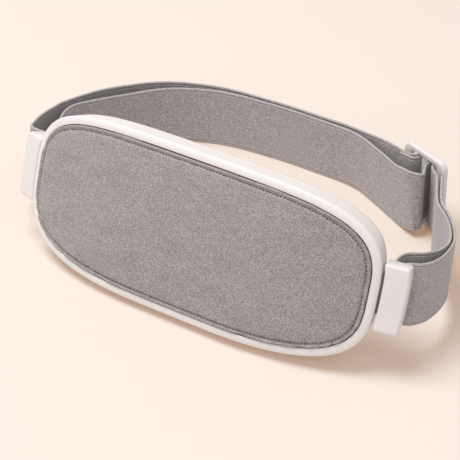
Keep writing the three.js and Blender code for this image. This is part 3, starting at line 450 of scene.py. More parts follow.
def upright_rows(outline, depths):
    """An outline in X and Z about the light window's middle, carried through depths."""
    depth = np.asarray(depths, float)[:, None]
    rows = np.broadcast_arrays(outline[:, 0], depth, outline[:, 1] + WINDOW_Z)
    return np.stack(rows, axis=-1)


def carried_rows(outline, heights, x=0.0, depth=0.0, scale=1.0):
    """An outline in X and depth about a point, scaled and carried through heights."""
    scale, heights = np.broadcast_arrays(scale, np.asarray(heights, float))
    outline = outline * scale[:, None, None]
    rows = np.broadcast_arrays(x + outline[..., 0], depth + outline[..., 1], heights[:, None])
    return np.stack(rows, axis=-1)


def shift_place(x=0.0, z=0.0):
    """Pad placement of what is drawn about the middle, square to the bend at x."""
    def place(points):
        points = np.asarray(points, float)
        here = np.full(points.shape[:-1], x)
        angle = bend_angle(here)
        across = here + points[..., 0] * np.cos(angle) - points[..., 1] * np.sin(angle)
        depth = bend_depth(here) + points[..., 0] * np.sin(angle) + points[..., 1] * np.cos(angle)
        return pad_place(np.stack([across, depth, points[..., 2] + z], axis=-1))
    return place


# Shader expressions


class Signal:
    """A socket of a material. Arithmetic on it adds Math nodes."""

    def __init__(self, finish, socket):
        self.finish, self.socket = finish, socket

    def _math(self, operation, first, second=None):
        values = {0: first} if second is None else {0: first, 1: second}
        return self.finish.node("ShaderNodeMath", {"operation": operation}, values)

    def __add__(self, other):
        return self._math("ADD", self, other)

    def __radd__(self, other):
        return self._math("ADD", other, self)

    def __sub__(self, other):
        return self._math("SUBTRACT", self, other)

    def __rsub__(self, other):
        return self._math("SUBTRACT", other, self)

    def __mul__(self, other):
        return self._math("MULTIPLY", self, other)

    def __rmul__(self, other):
        return self._math("MULTIPLY", other, self)

    def __abs__(self):
        return self._math("ABSOLUTE", self)

    def sine(self):
        return self._math("SINE", self)

    def largest(self, other):
        return self._math("MAXIMUM", self, other)

    def ramp(self, low, high):
        """0 below low, 1 above high, smooth between."""
        values = {0: self, 1: low, 2: high}
        return self.finish.node("ShaderNodeMapRange", {"interpolation_type": "SMOOTHSTEP"}, values)


class Finish:
    """A material on the Principled shader; every further node comes from one method."""

    def __init__(self, name, **constants):
        self.material = bpy.data.materials.new(name)
        self.material.use_nodes = True
        self.tree = self.material.node_tree
        self.shader = self.tree.nodes["Principled BSDF"]
        for socket, value in constants.items():
            self.shader.inputs[socket.replace("_", " ")].default_value = value
        self.material.diffuse_color = (0.6, 0.58, 0.56, 1)

    def node(self, kind, settings=None, values=None, output=0):
        """A new node's output, after its settings and its inputs' values or links."""
        node = self.tree.nodes.new(kind)
        for key, value in (settings or {}).items():
            setattr(node, key, value)
        for key, value in (values or {}).items():
            self.join(value, node.inputs[key])
        return Signal(self, node.outputs[output])

    def join(self, value, socket):
        """Links a signal to a socket, or gives the socket a plain value."""
        if isinstance(value, Signal):
            self.tree.links.new(value.socket, socket)
        else:
            socket.default_value = value

    def place(self):
        """The shaded point in the piece's own coordinates."""
        return self.node("ShaderNodeTexCoord", output="Object")

    def split(self, place):
        """X, Y and Z of a place, as three values."""
        node = self.node("ShaderNodeSeparateXYZ", None, {"Vector": place}).socket.node
        return [Signal(self, socket) for socket in node.outputs]

    def noise(self, size, detail=3.0, roughness=0.55, stretch=None):
        """Noise whose lumps are about size metres across, from 0 to 1."""
        place = self.place()
        if stretch:
            place = self.node("ShaderNodeMapping", None, {"Vector": place, "Scale": stretch})
        values = {"Vector": place, "Scale": 1 / size, "Detail": detail, "Roughness": roughness}
        return self.node("ShaderNodeTexNoise", None, values)

    def mix(self, factor, first, second):
        """The first colour at factor 0, the second at 1."""
        values = {0: factor, 6: first, 7: second}
        return self.node("ShaderNodeMix", {"data_type": "RGBA"}, values, output=2)

    def feed(self, **signals):
        """Joins values to the shader's inputs, named with _ for a space."""
        for name, value in signals.items():
            self.join(value, self.shader.inputs[name.replace("_", " ")])
        return self

    def bump(self, height, distance, strength=1.0, base=None):
        """Relief whose full height is the distance in metres."""
        values = {"Height": height, "Distance": distance, "Strength": strength}
        if base is not None:
            values["Normal"] = base
        return self.node("ShaderNodeBump", None, values)


def shade(colour, factor):
    """A colour made lighter or darker, with full alpha."""
    return tuple(min(1.0, c * factor) for c in tuple(colour)[:3]) + (1.0,)


def moulded_plastic(name, colour, roughness, coat, grain=0.00035, relief=0.00001):
    """Moulded plastic: faint clouding, a fine grain, and scuffs that dull the gloss in streaks."""
    finish = Finish(name, Coat_Roughness=0.22, IOR=1.48)
    cloud = finish.noise(0.03, 2)
    scuff = finish.noise(0.006, 5, 0.7, stretch=(1, 4, 1)).ramp(0.56, 0.72)
    speck = finish.noise(grain, 2)
    tint = finish.mix(cloud.ramp(0.3, 0.7), shade(colour, 0.985), shade(colour, 1.01))
    tint = finish.mix(scuff * 0.18, tint, shade(colour, 0.9))
    finish.feed(
        Base_Color=tint,
        Roughness=roughness + cloud * 0.05 + scuff * 0.12,
        Coat_Weight=coat - scuff * (coat * 0.4),
        Normal=finish.bump(speck, relief, 0.5),
    )
    return finish.material


def short_plush(name, colour):
    """Short plush: painted shade in the pile's gaps and painted highlights on its tips; nap that lies
    in drifts.
    """
    finish = Finish(name, Sheen_Weight=0.35, Sheen_Roughness=0.45, IOR=1.3)
    finish.shader.inputs["Sheen Tint"].default_value = (0.95, 0.93, 0.92, 1)
    pile = finish.noise(0.0007, 2, 0.8)
    tuft = finish.noise(0.0032, 3, 0.6)
    nap = finish.noise(0.022, 3, 0.55, stretch=(1, 1, 2.2))
    tint = finish.mix(nap.ramp(0.3, 0.7), shade(colour, 0.93), shade(colour, 1.06))
    # Painted shade in the pile's gaps, where its relief is low
    tint = finish.mix((0.58 - pile).ramp(0.02, 0.18) * 0.72, tint, shade(colour, 0.52))
    # Painted highlights on the pile's tips, where its relief is high
    tint = finish.mix(pile.ramp(0.52, 0.66) * 0.62, tint, shade(colour, 1.42))
    height = pile * 0.55 + tuft * 0.45
    finish.feed(Base_Color=tint, Roughness=0.9 + nap * 0.08, Normal=finish.bump(height, 0.0007, 0.75))
    return finish.material


def knitted_webbing(name, colour):
    """Elastic tape, on its own places: fine lengthwise ribs crossed by the knit's rows, flecks of the
    fuzz, and two raised selvedge cords with painted highlights, with painted shade in the groove
    between."""
    finish = Finish(name, Sheen_Weight=0.25, Sheen_Roughness=0.4, IOR=1.35)
    along, across, _ = finish.split(finish.node("ShaderNodeUVMap", {"uv_map": "tape"}))
    edge = WEBBING_WIDTH / 2 - abs(across)
    rib = (across * (2 * math.pi / 0.0013)).sine()
    row = (along * (2 * math.pi / 0.0017) + rib.ramp(-0.2, 0.2) * math.pi).sine()
    knit = rib * 0.4 + row * 0.35 + 0.5
    fuzz = finish.noise(0.001, 3, 0.75)
    drift = finish.noise(0.02, 2)
    outer_cord = (0.0006 - abs(edge - 0.0007)).ramp(0.0, 0.0003)
    inner_cord = (0.0005 - abs(edge - 0.0026)).ramp(0.0, 0.0003)
    groove = (0.0006 - abs(edge - 0.0017)).ramp(0.0, 0.0004)
    tint = finish.mix(knit.ramp(0.0, 1.0), shade(colour, 0.84), shade(colour, 1.1))
    tint = finish.mix(drift.ramp(0.3, 0.7) * 0.35, tint, shade(colour, 0.9))
    tint = finish.mix(fuzz.ramp(0.52, 0.66) * 0.7, tint, shade(colour, 1.55))
    tint = finish.mix((1 - fuzz).ramp(0.52, 0.66) * 0.7, tint, shade(colour, 0.47))
    # Painted highlights on the raised selvedge cords
    tint = finish.mix(outer_cord.largest(inner_cord) * 0.3, tint, shade(colour, 1.3))
    # Painted shade in the sunken groove between the cords
    tint = finish.mix(groove * 0.35, tint, shade(colour, 0.62))
    height = knit * 0.4 + outer_cord * 0.3 + inner_cord * 0.3 - groove * 0.4 + fuzz * 0.4
    finish.feed(Base_Color=tint, Roughness=0.88 + fuzz * 0.1, Normal=finish.bump(height, 0.0003, 0.8))
    return finish.material


def spun_thread(name, colour):
    """Sewing thread: fine twist across the stitch."""
    finish = Finish(name, Sheen_Weight=0.2, IOR=1.4)
    twist = finish.noise(0.0004, 2, stretch=(1, 2, 2))
    tint = finish.mix(twist.ramp(0.35, 0.65), shade(colour, 0.7), shade(colour, 1.35))
    finish.feed(Base_Color=tint, Roughness=0.75 + twist * 0.15, Normal=finish.bump(twist, 0.0001))
    return finish.material


def worn_metal(name, colour, roughness):
    """Plated metal with a lengthwise grain and dull spots."""
    finish = Finish(name, Metallic=1.0)
    grain = finish.noise(0.0005, 3, stretch=(1, 1, 6))
    spots = finish.noise(0.004, 3).ramp(0.55, 0.75)
    tint = finish.mix(spots * 0.5, shade(colour, 1.0), shade(colour, 0.7))
    gloss = roughness + grain * 0.12 + spots * 0.15
    finish.feed(Base_Color=tint, Roughness=gloss, Normal=finish.bump(grain, 0.00001, 0.5))
    return finish.material


def printed_film(name, colour):
    """Amber film with the wide copper-brown track of the heater seen through it."""
    finish = Finish(name, IOR=1.5)
    x, _, z = finish.split(finish.place())
    sway = (x * (2 * math.pi / 0.19)).sine() * 0.8
    track = (z * (2 * math.pi / 0.011) + sway).sine().ramp(-0.1, 0.1)
    tint = finish.mix(track, shade(colour, 1.0), shade(colour, 0.45))
    finish.feed(Base_Color=tint, Roughness=0.32 + track * 0.1, Normal=finish.bump(track, 0.00005))
    return finish.material


def cell_foam(name, colour):
    """Closed-cell foam: small round cells and slight yellowing."""
    finish = Finish(name)
    cells = finish.node("ShaderNodeTexVoronoi", None, {"Vector": finish.place(), "Scale": 900.0})
    age = finish.noise(0.03, 2)
    tint = finish.mix(age.ramp(0.3, 0.7), shade(colour, 0.9), shade(colour, 1.05))
    finish.feed(Base_Color=tint, Roughness=0.93 + age * 0.05, Normal=finish.bump(cells, 0.0003))
    return finish.material


def circuit_board(name, colour):
    """Solder mask with raised tracks under it and bare pads."""
    finish = Finish(name, IOR=1.5)
    x, _, z = finish.split(finish.place())
    cell = finish.noise(0.012, 1)
    track = ((x + cell * 0.01) * (2 * math.pi / 0.0035)).sine().ramp(0.75, 0.9)
    pads = ((x * (2 * math.pi / 0.0051)).sine() * (z * (2 * math.pi / 0.0047)).sine()).ramp(0.9, 0.94)
    tint = finish.mix(track * 0.6, shade(colour, 0.9), shade(colour, 1.7))
    tint = finish.mix(pads, tint, (0.72, 0.68, 0.55, 1))
    relief = finish.bump(track + pads, 0.00004)
    finish.feed(Base_Color=tint, Roughness=0.38 - pads * 0.1, Normal=relief)
    return finish.material


def wrinkled_foil(name, colour):
    """Pouch foil of a cell: soft creases and a dull sheen."""
    finish = Finish(name, Metallic=0.7)
    crease = finish.noise(0.012, 3, 0.6, stretch=(1, 1, 0.4))
    tint = finish.mix(crease.ramp(0.3, 0.7), shade(colour, 0.9), shade(colour, 1.1))
    finish.feed(Base_Color=tint, Roughness=0.36 + crease * 0.14, Normal=finish.bump(crease, 0.0004))
    return finish.material


def frosted_lens(name, colour):
    """Frosted plastic: a fine frost in its gloss and relief, and faint clouding."""
    finish = Finish(name, IOR=1.49)
    frost = finish.noise(0.0004, 2)
    cloud = finish.noise(0.01, 2)
    tint = finish.mix(cloud.ramp(0.3, 0.7), shade(colour, 0.95), shade(colour, 1.02))
    finish.feed(Base_Color=tint, Roughness=0.34 + frost * 0.1, Normal=finish.bump(frost, 0.00002))
    return finish.material


FINISHES = {}


def finish_of(key):
    """Materials are made once, from the colours in the panel."""
    if key not in FINISHES:
        colours = bpy.context.scene.belt_colours
        makers = {
            "shell": lambda: moulded_plastic("white_satin_housing", colours.housing, 0.3, 0.3),
            "lug": lambda: moulded_plastic("white_satin_lug", colours.lug, 0.34, 0.2),
            "adjuster": lambda: moulded_plastic("white_satin_adjuster", colours.adjuster, 0.34, 0.2),
            "key": lambda: moulded_plastic("white_matte_key", colours.key, 0.5, 0.0, 0.0005, 0.00003),
            "mark": lambda: moulded_plastic("grey_key_print", colours.mark, 0.6, 0.0),
            "dark": lambda: moulded_plastic("black_moulding", colours.dark, 0.5, 0.0, 0.0006, 0.00004),
            "plush": lambda: short_plush("grey_short_plush", colours.plush),
            "webbing": lambda: knitted_webbing("grey_knitted_tape", colours.webbing),
            "thread": lambda: spun_thread("dark_grey_thread", colours.thread),
            "steel": lambda: worn_metal("plated_steel", colours.steel, 0.3),
            "film": lambda: printed_film("amber_heater_film", colours.film),
            "foam": lambda: cell_foam("cream_cell_foam", colours.foam),
            "board": lambda: circuit_board("green_solder_mask", colours.board),
            "foil": lambda: wrinkled_foil("silver_cell_foil", colours.foil),
            "lens": lambda: frosted_lens("frosted_light_lens", colours.lens),
        }
        FINISHES[key] = makers[key]()
    return FINISHES[key]


# Pieces


def add_piece(name, mesh, key, body=None, replaces=()):
    """A shown piece with its finish; it rides on a body where one is given."""
    mesh.materials.clear()
    mesh.materials.append(finish_of(key))
    piece = bpy.data.objects.new(name, mesh)
    bpy.context.scene.collection.objects.link(piece)
    if replaces:
        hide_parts(*replaces)
    if body:
        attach(piece, body)
    return piece


def combined(mesh, form, operation):
    """The mesh with one exact Boolean of the form's closed shapes worked out."""
    scene = bpy.context.scene
    base = bpy.data.objects.new("base", mesh)
    tool_mesh = form.mesh("tool")
    tool = bpy.data.objects.new("tool", tool_mesh)
    scene.collection.objects.link(base)
    scene.collection.objects.link(tool)
    modifier = base.modifiers.new("shape", "BOOLEAN")
    modifier.operation, modifier.solver, modifier.object = operation, "EXACT", tool
    graph = bpy.context.evaluated_depsgraph_get()
    result = bpy.data.meshes.new_from_object(base.evaluated_get(graph))
    result.name = mesh.name
    bpy.data.objects.remove(base)
    bpy.data.objects.remove(tool)
    bpy.data.meshes.remove(tool_mesh)
    bpy.data.meshes.remove(mesh)
    if len(result.polygons) == 0:
        raise RuntimeError(f"{result.name}: the Boolean left nothing")
    finish_shading(result, 32)
    return result


# Case screws, in shares of the cover's half sizes
SCREW_SHARES = ((0.43, 0.86), (0.43, -0.86), (-0.43, 0.86), (-0.43, -0.86), (0.86, 0.5), (-0.86, 0.5))
SCREW_PLACES = [shift_place(x * COVER_LENGTH, z * COVER_HEIGHT) for x, z in SCREW_SHARES]


def key_place(k):
    """Pad placement of what is drawn about the middle of key number k."""
    return shift_place((k - 1) * KEY_SPACING, KEY_Z)


def at_end(side, x=0.0, depth=0.0):
    """End placement of what is drawn about a point of the end frame."""
    return lambda points: end_place(np.asarray(points) + np.array([x, depth, 0.0]), side)


def hinge_bars(form, radius, half_height):
    """A bar on the hinge line of each end."""
    for side in SIDES:
        place = at_end(side, HINGE_X, HINGE_DEPTH)
        bar_form(form, radius, -half_height, half_height, place, axis="height")
    return form


def screw_bars(form, radius, start, end):
    """A bar on the line of each case screw."""
    for place in SCREW_PLACES:
        bar_form(form, radius, start, end, place)
    return form


def tongue_slots():
    """Room in the housing's ends for the tongues and their swing."""
    form = Form()
    low = (HINGE_X, HINGE_DEPTH - TONGUE_HALF_THICKNESS - GAP, -EAR_INNER)
    high = (LUG_OUTER, HINGE_DEPTH + TONGUE_SWING_ROOM, EAR_INNER)
    for side in SIDES:
        block_form(form, low, high, at_end(side))
    return form


class BELT_OT_front_housing(bpy.types.Operator):
    """Front tray of the housing, with the white rim round the plush"""

    bl_idname = "belt.front_housing"
    bl_label = "Front housing"

    def execute(self, context):
        crest = context.scene.belt_sizes.rim_crest
        lip = 0.2 * MM
        profile = [
            (0.5, 0.0, RECESS_DEPTH),
            (1.0, lip, RECESS_DEPTH),
            (1.0, lip, -crest),
            (1.0, RIM_WIDTH * 0.55, -crest - 0.05 * MM),
            (1.0, RIM_WIDTH - 0.05 * MM, 0.1 * MM),
            (1.0, RIM_WIDTH, 3.0 * MM),
            (1.0, RIM_WIDTH + RIM_DRAFT, PARTING),
            (1.0, RIM_WIDTH - SHELL_WALL, PARTING),
            (1.0, RIM_WIDTH - SHELL_WALL, FLOOR_REAR),
            (0.5, 0.0, FLOOR_REAR),
        ]
        radii = np.array([0.4, 0.6, 1.2, 1.0, 1.0, 0.3, 0.3, 0.3]) * MM
        mesh = lofted(Form(), outline_rows(rounded(profile, radii))).mesh("front_housing")
        raised = screw_bars(Form(), BOSS_RADIUS, BOSS_FOOT, BOSS_TOP)
        for x in PEG_X:
            for z in PEG_Z:
                bar_form(raised, PEG_RADIUS, BOSS_FOOT, PEG_TOP, shift_place(x, z))
        for side in SIDES:
            for sign in SIDES:
                low, high = sorted((sign * EAR_INNER, sign * (EAR_INNER + EAR_THICKNESS)))
                near = (HINGE_X - EAR_HALF_WIDTH, BOSS_FOOT, low)
                far = (HINGE_X + EAR_HALF_WIDTH, EAR_TOP, high)
                block_form(raised, near, far, at_end(side))
        mesh = combined(mesh, raised, "UNION")
        bores = hinge_bars(Form(), BARREL_RADIUS + BARREL_ROOM, EAR_INNER)
        screw_bars(bores, SHANK_BORE, FLOOR_REAR - 0.1 * MM, BOSS_TOP + OVERRUN)
        mesh = combined(mesh, bores, "DIFFERENCE")
        mesh = combined(mesh, tongue_slots(), "DIFFERENCE")
        mesh = combined(mesh, hinge_bars(Form(), PIN_BORE, PIN_REACH), "DIFFERENCE")
        add_piece("front_housing", mesh, "shell", "pad", ("front_shell",))
        return {"FINISHED"}


class BELT_OT_rear_housing(bpy.types.Operator):
    """Rear cover of the housing, with its openings for keys, lights, screws and charging"""

    bl_idname = "belt.rear_housing"
    bl_label = "Rear housing"

    def execute(self, context):
        inner, parting = HOUSING_DEPTH - SHELL_WALL, PARTING + GAP

        def outline(inset, depth, end_grow=0.0, end_depth=0.0):
            return (1.0, RIM_WIDTH - inset * MM, depth, end_grow * MM, end_depth * MM)

        profile = [
            (0.4, 0.0, HOUSING_DEPTH, 0.0, 0.0),
            (0.75, 0.0, HOUSING_DEPTH, 0.0, 0.0),
            outline(9, HOUSING_DEPTH, 1.4),
            outline(3.4, 20.6 * MM, 0.9, 0.6),
            outline(0.8, 16.4 * MM, 0.4, 1.2),
            outline(-0.1, parting),
            outline(2, parting),
            outline(2.8, 14.4 * MM, 0.4, 1.2),
            outline(5.4, 18.6 * MM, 0.9, 0.6),
            outline(11, inner, 1.4),
            (0.75, 0.0, inner, 0.0, 0.0),
            (0.4, 0.0, inner, 0.0, 0.0),
        ]
        radii = np.array([0, 4, 3, 3, 0.3, 0.3, 1, 2.4, 3, 0]) * MM
        mesh = lofted(Form(), outline_rows(rounded(profile, radii, 6))).mesh("rear_housing")
        posts = screw_bars(Form(), POST_RADIUS, BOSS_TOP + GAP, POST_REAR)
        mesh = combined(mesh, posts, "UNION")
        through = [inner - OVERRUN, HOUSING_DEPTH + OVERRUN]
        bores = screw_bars(Form(), HEAD_RADIUS + GAP, HEAD_SEAT - GAP, through[1])
        for k in range(len(KEYS)):
            bar_form(bores, KEY_RADIUS + KEY_ROOM, *through, key_place(k), 64)
        window = rounded_rectangle(13.3 * MM, 1.8 * MM, 1.2 * MM)
        lofted(bores, pad_place(upright_rows(window, through)))
        port = rounded_rectangle(5.0 * MM, 2.1 * MM, 1.9 * MM)
        lofted(bores, pad_place(carried_rows(port, PORT_OPENING, depth=PORT_DEPTH)))
        mesh = combined(mesh, bores, "DIFFERENCE")
        shanks = hinge_bars(Form(), BARREL_RADIUS + BARREL_ROOM, EAR_INNER)
        screw_bars(shanks, SHANK_BORE, BOSS_TOP - OVERRUN, HEAD_REAR)
        mesh = combined(mesh, shanks, "DIFFERENCE")
        mesh = combined(mesh, tongue_slots(), "DIFFERENCE")
        add_piece("rear_housing", mesh, "shell", "pad", ("rear_shell",))
        return {"FINISHED"}


def stroke(form, path, width, height, base, place):
    """A raised line: a flat rounded section carried along a path (n, 2) in X and Z."""
    path = np.asarray(path, float)
    along = np.gradient(path, axis=0)
    along /= np.linalg.norm(along, axis=1, keepdims=True)
    across = np.stack([-along[:, 1], along[:, 0]], axis=1)
    angle = np.linspace(0, 2 * np.pi, 8, endpoint=False)
    offset = np.cos(angle) * width / 2
    x = path[:, 0, None] + across[:, 0, None] * offset
    z = path[:, 1, None] + across[:, 1, None] * offset
    depth = np.broadcast_to(base + np.sin(angle) * height, x.shape)
    return lofted(form, place(np.stack([x, depth, z], axis=-1)))


def key_strokes(name):
    """Lines of the sign on a key: a ring with a bar, rising waves, or a shaken dot."""
    if name == "power":
        angle = np.radians(np.linspace(125, 415, 40))
        ring = np.stack([np.cos(angle), np.sin(angle)], axis=1) * 1.9 * MM
        bar = np.stack([np.zeros(6), np.linspace(0.5, 2.5, 6) * MM], axis=1)
        return [ring, bar]
    if name == "heat":
        rise = np.linspace(-2.1, 2.1, 24) * MM
        sway = 0.45 * MM * np.sin(rise / MM * 2.4)
        return [np.stack([x * MM + sway, rise], axis=1) for x in (-1.6, 0.0, 1.6)]
    lines = []
    for radius in (1.5, 2.5):
        for middle in (0, 180):
            angle = np.radians(np.linspace(middle - 42, middle + 42, 14))
            lines.append(np.stack([np.cos(angle), np.sin(angle)], axis=1) * radius * MM)
    angle = np.radians(np.linspace(0, 340, 20))
    return lines + [np.stack([np.cos(angle), np.sin(angle)], axis=1) * 0.45 * MM]


class BELT_OT_keys(bpy.types.Operator):
    """Three round push keys on the rear, each with its printed sign"""

    bl_idname = "belt.keys"
    bl_label = "Keys"

    def execute(self, context):
        profile = [
            (0.0, FLANGE_FRONT),
            (FLANGE_RADIUS, FLANGE_FRONT),
            (FLANGE_RADIUS, FLANGE_REAR),
            (KEY_RADIUS, FLANGE_REAR),
            (KEY_RADIUS - 0.1 * MM, KEY_FACE),
            (3.6 * MM, KEY_FACE - 0.45 * MM),
            (0.4 * MM, KEY_FACE - 0.5 * MM),
        ]
        rows = rounded(profile, np.array([0, 0.2, 0.2, 0.7, 1.8]) * MM)[1:]
        for k, name in enumerate(KEYS):
            place = key_place(k)
            mesh = turned(Form(), rows, place, 96).mesh(f"{name}_key")
            add_piece(f"{name}_key", mesh, "key", f"{name}_key", (f"{name}_button",))
            signs = Form()
            for path in key_strokes(name):
                stroke(signs, path, 0.42 * MM, 0.05 * MM, KEY_FACE - 0.49 * MM, place)
            mesh = signs.mesh(f"{name}_sign")
            add_piece(f"{name}_sign", mesh, "mark", f"{name}_key")
        return {"FINISHED"}


class BELT_OT_rear_fittings(bpy.types.Operator):
    """Light window, charging socket and case screws"""

    bl_idname = "belt.rear_fittings"
    bl_label = "Window, socket and screws"

    def execute(self, context):
        flange = rounded_rectangle(14.2 * MM, 2.7 * MM, 1.6 * MM)
        body = rounded_rectangle(13 * MM, 1.5 * MM, 1.1 * MM)
        face = rounded_rectangle(12.7 * MM, 1.2 * MM, 0.9 * MM)
        lens = [
            upright_rows(flange, [FLANGE_FRONT, FLANGE_REAR]),
            upright_rows(body, [FLANGE_REAR, 22.1 * MM]),
            upright_rows(face, [22.3 * MM]),
        ]
        mesh = lofted(Form(), pad_place(np.concatenate(lens))).mesh("light_bar")
        add_piece("light_bar", mesh, "lens", "pad", ("light_window",))
        sleeve = rounded_rectangle(4.5 * MM, 1.6 * MM, 1.45 * MM)
        bore = rounded_rectangle(4.1 * MM, 1.2 * MM, 1.1 * MM)
        rows = [
            carried_rows(sleeve, (-36.4 * MM, -43.6 * MM), depth=PORT_DEPTH),
            carried_rows(sleeve * 0.985, (-43.8 * MM,), depth=PORT_DEPTH),
            carried_rows(bore, (-43.7 * MM, -37.4 * MM), depth=PORT_DEPTH),
        ]
        mesh = lofted(Form(), pad_place(np.concatenate(rows))).mesh("charging_port")
        add_piece("charging_port", mesh, "steel", "pad", ("charging_socket",))
        tongue = rounded_rectangle(3.2 * MM, 0.35 * MM, 0.2 * MM)
        heights, scale = np.array([-37.6, -42.6, -42.9]) * MM, np.array([1, 1, 0.9])
        rows = carried_rows(tongue, heights, depth=PORT_DEPTH, scale=scale)
        mesh = lofted(Form(), pad_place(rows)).mesh("charging_tongue")
        add_piece("charging_tongue", mesh, "dark", "pad")
        profile = [
            (0.2 * MM, 6.9 * MM),
            (SHANK_RADIUS, 7.6 * MM),
            (SHANK_RADIUS, HEAD_SEAT),
            (HEAD_RADIUS, HEAD_SEAT),
            (HEAD_RADIUS, HEAD_REAR - 0.5 * MM),
            (1.7 * MM, HEAD_REAR),
            (0.2 * MM, HEAD_REAR),
        ]
        rows = rounded(profile, 0.25 * MM, 3)
        for number, place in enumerate(SCREW_PLACES, 1):
            mesh = turned(Form(), rows, place, 48).mesh(f"screw_{number}")
            drive = bar_form(Form(), 1.05 * MM, HEAD_REAR - 0.9 * MM, HEAD_REAR + 1 * MM, place, 6)
            mesh = combined(mesh, drive, "DIFFERENCE")
            add_piece(f"screw_{number}", mesh, "steel", "pad", (f"case_screw_{number}",))
        return {"FINISHED"}


def lug_outline(inner, outer, end, corner, steps=8):
    """Closed outline (n, 2) of the lug's block drawn in by three insets: a rounded rectangle whose
    long edges both follow the housing's end curve."""
    low, high = LUG_INNER + inner, LUG_OUTER - outer
    flat = rounded_rectangle((high - low) / 2, LUG_HALF_HEIGHT - end, corner, steps)
    ends = np.linspace(0, 1, 26)[1:-1]
    breaks = np.arange(1, 5) * (steps + 1) - 1
    parts = []
    for k, last in enumerate(breaks):
        start, stop = flat[last], flat[(last + 1) % len(flat)]
        parts.append(flat[last - steps:last + 1])
        parts.append(start + (stop - start) * ends[:, None])
    loop = np.concatenate(parts)
    return np.stack([(low + high) / 2 + loop[:, 0] + end_rise(loop[:, 1]), loop[:, 1]], axis=1)


def lug_rows(sections):
    """Rows of the block: outlines drawn in by insets at a depth; a share pulls a row to its middle."""
    rows = []
    for insets, corner, depth, share in sections:
        outline = lug_outline(*insets, corner)
        middle = outline.mean(axis=0)
        outline = middle + (outline - middle) * share
        rows.append(np.stack([outline[:, 0], np.full(len(outline), depth), outline[:, 1]], axis=1))
    return np.stack(rows)


class BELT_OT_lugs(bpy.types.Operator):
    """End lugs: hollow rounded blocks with a strap bar, each on a hinge tongue"""

    bl_idname = "belt.lugs"
    bl_label = "End lugs"

    def execute(self, context):
        edge = context.scene.belt_sizes.lug_edge
        face = [([edge] * 3, 1.5 * MM, LUG_FRONT, share) for share in (0.2, 0.6, 0.9)]
        crown = []
        for angle in np.linspace(0, np.pi / 2, 7):
            inset, fall = edge * (1 - math.sin(angle)), edge * (1 - math.cos(angle))
            crown.append(([inset] * 3, 1.5 * MM, LUG_FRONT + fall, 1.0))
        walls = np.array(list(LUG_WALLS.values()))
        back = [
            ([0.0] * 3, 1.5 * MM, LUG_REAR - 0.5 * MM, 1.0),
            ([0.4 * MM] * 3, 1.4 * MM, LUG_REAR, 1.0),
            (walls - 0.2 * MM, 1.3 * MM, LUG_REAR, 1.0),
            (walls, 1.4 * MM, LUG_REAR - 0.3 * MM, 1.0),
            (walls, 1.4 * MM, 3.2 * MM, 1.0),
            (walls + 0.5 * MM, 1.4 * MM, 2.6 * MM, 1.0),
            (walls + 0.5 * MM, 1.4 * MM, 2.6 * MM, 0.3),
        ]
        block = lug_rows(face + crown + back)
        section = rounded_rectangle(BAR_HALF_WIDTH, BAR_HALF_THICKNESS, 0.8 * MM)
        bar = carried_rows(section, (-BAR_HALF_LENGTH, BAR_HALF_LENGTH), BAR_X, BAR_DEPTH)
        low = (HINGE_X, HINGE_DEPTH - TONGUE_HALF_THICKNESS, -TONGUE_HALF_HEIGHT)
        high = (LUG_INNER + TONGUE_OVERLAP, HINGE_DEPTH + TONGUE_HALF_THICKNESS, TONGUE_HALF_HEIGHT)
        for side, end in zip(SIDES, ("right", "left")):
            place, hinge = at_end(side), at_end(side, HINGE_X, HINGE_DEPTH)
            mesh = block_form(Form(), low, high, place).mesh(f"{end}_tongue")
            reach = TONGUE_HALF_HEIGHT
            barrel = bar_form(Form(), BARREL_RADIUS, -reach, reach, hinge, 48, "height")
            mesh = combined(mesh, barrel, "UNION")
            reach = TONGUE_HALF_HEIGHT + OVERRUN
            bore = bar_form(Form(), PIN_BORE, -reach, reach, hinge, 48, "height")
            mesh = combined(mesh, bore, "DIFFERENCE")
            add_piece(f"{end}_lug_tongue", mesh, "lug", f"{end}_lug")
            form = lofted(lofted(Form(), place(block)), place(bar))
            mesh = form.mesh(f"{end}_lug")
            add_piece(f"{end}_end_lug", mesh, "lug", f"{end}_lug", (f"lug_{end}",))
        return {"FINISHED"}


def simulated(piece, pinned, pressure, limit):
    """The points after a short cloth run that swells the piece, none moved further than the limit."""
    scene = bpy.context.scene
    group = piece.vertex_groups.new(name="held")
    group.add(np.flatnonzero(pinned).tolist(), 1.0, "REPLACE")
    cloth = piece.modifiers.new("swell", "CLOTH")
    settings = cloth.settings
    settings.vertex_group_mass = "held"
    settings.use_pressure = True
    settings.uniform_pressure_force = pressure
    settings.effector_weights.gravity = 0
    settings.quality = 6
    settings.tension_stiffness = settings.compression_stiffness = 20
    cloth.point_cache.frame_start, cloth.point_cache.frame_end = 1, CLOTH_FRAMES
    start = vertex_array(piece.data)
    for number in range(1, CLOTH_FRAMES + 1):
        scene.frame_set(number)
    graph = bpy.context.evaluated_depsgraph_get()
    swollen = piece.evaluated_get(graph).to_mesh()
    end = vertex_array(swollen)
    piece.evaluated_get(graph).to_mesh_clear()
    piece.modifiers.remove(cloth)
    scene.frame_set(1)
    move = end - start
    length = np.linalg.norm(move, axis=1, keepdims=True)
    return start + move * np.minimum(1, limit / np.maximum(length, 1e-9))


def vertex_array(mesh):
    """A mesh's points as rows of (x, y, z)."""
    values = np.empty(len(mesh.vertices) * 3, np.float32)
    mesh.vertices.foreach_get("co", values)
    return values.reshape(-1, 3).astype(float)


def set_vertices(mesh, points):
    """Moves a mesh's points to rows of (x, y, z)."""
    mesh.vertices.foreach_set("co", points.astype(np.float32).ravel())
    mesh.update()


def evaluated_mesh(piece):
    """The mesh with its modifiers worked out, put in the piece's place."""
    graph = bpy.context.evaluated_depsgraph_get()
    result = bpy.data.meshes.new_from_object(piece.evaluated_get(graph))
    piece.modifiers.clear()
    piece.data = result
    return result


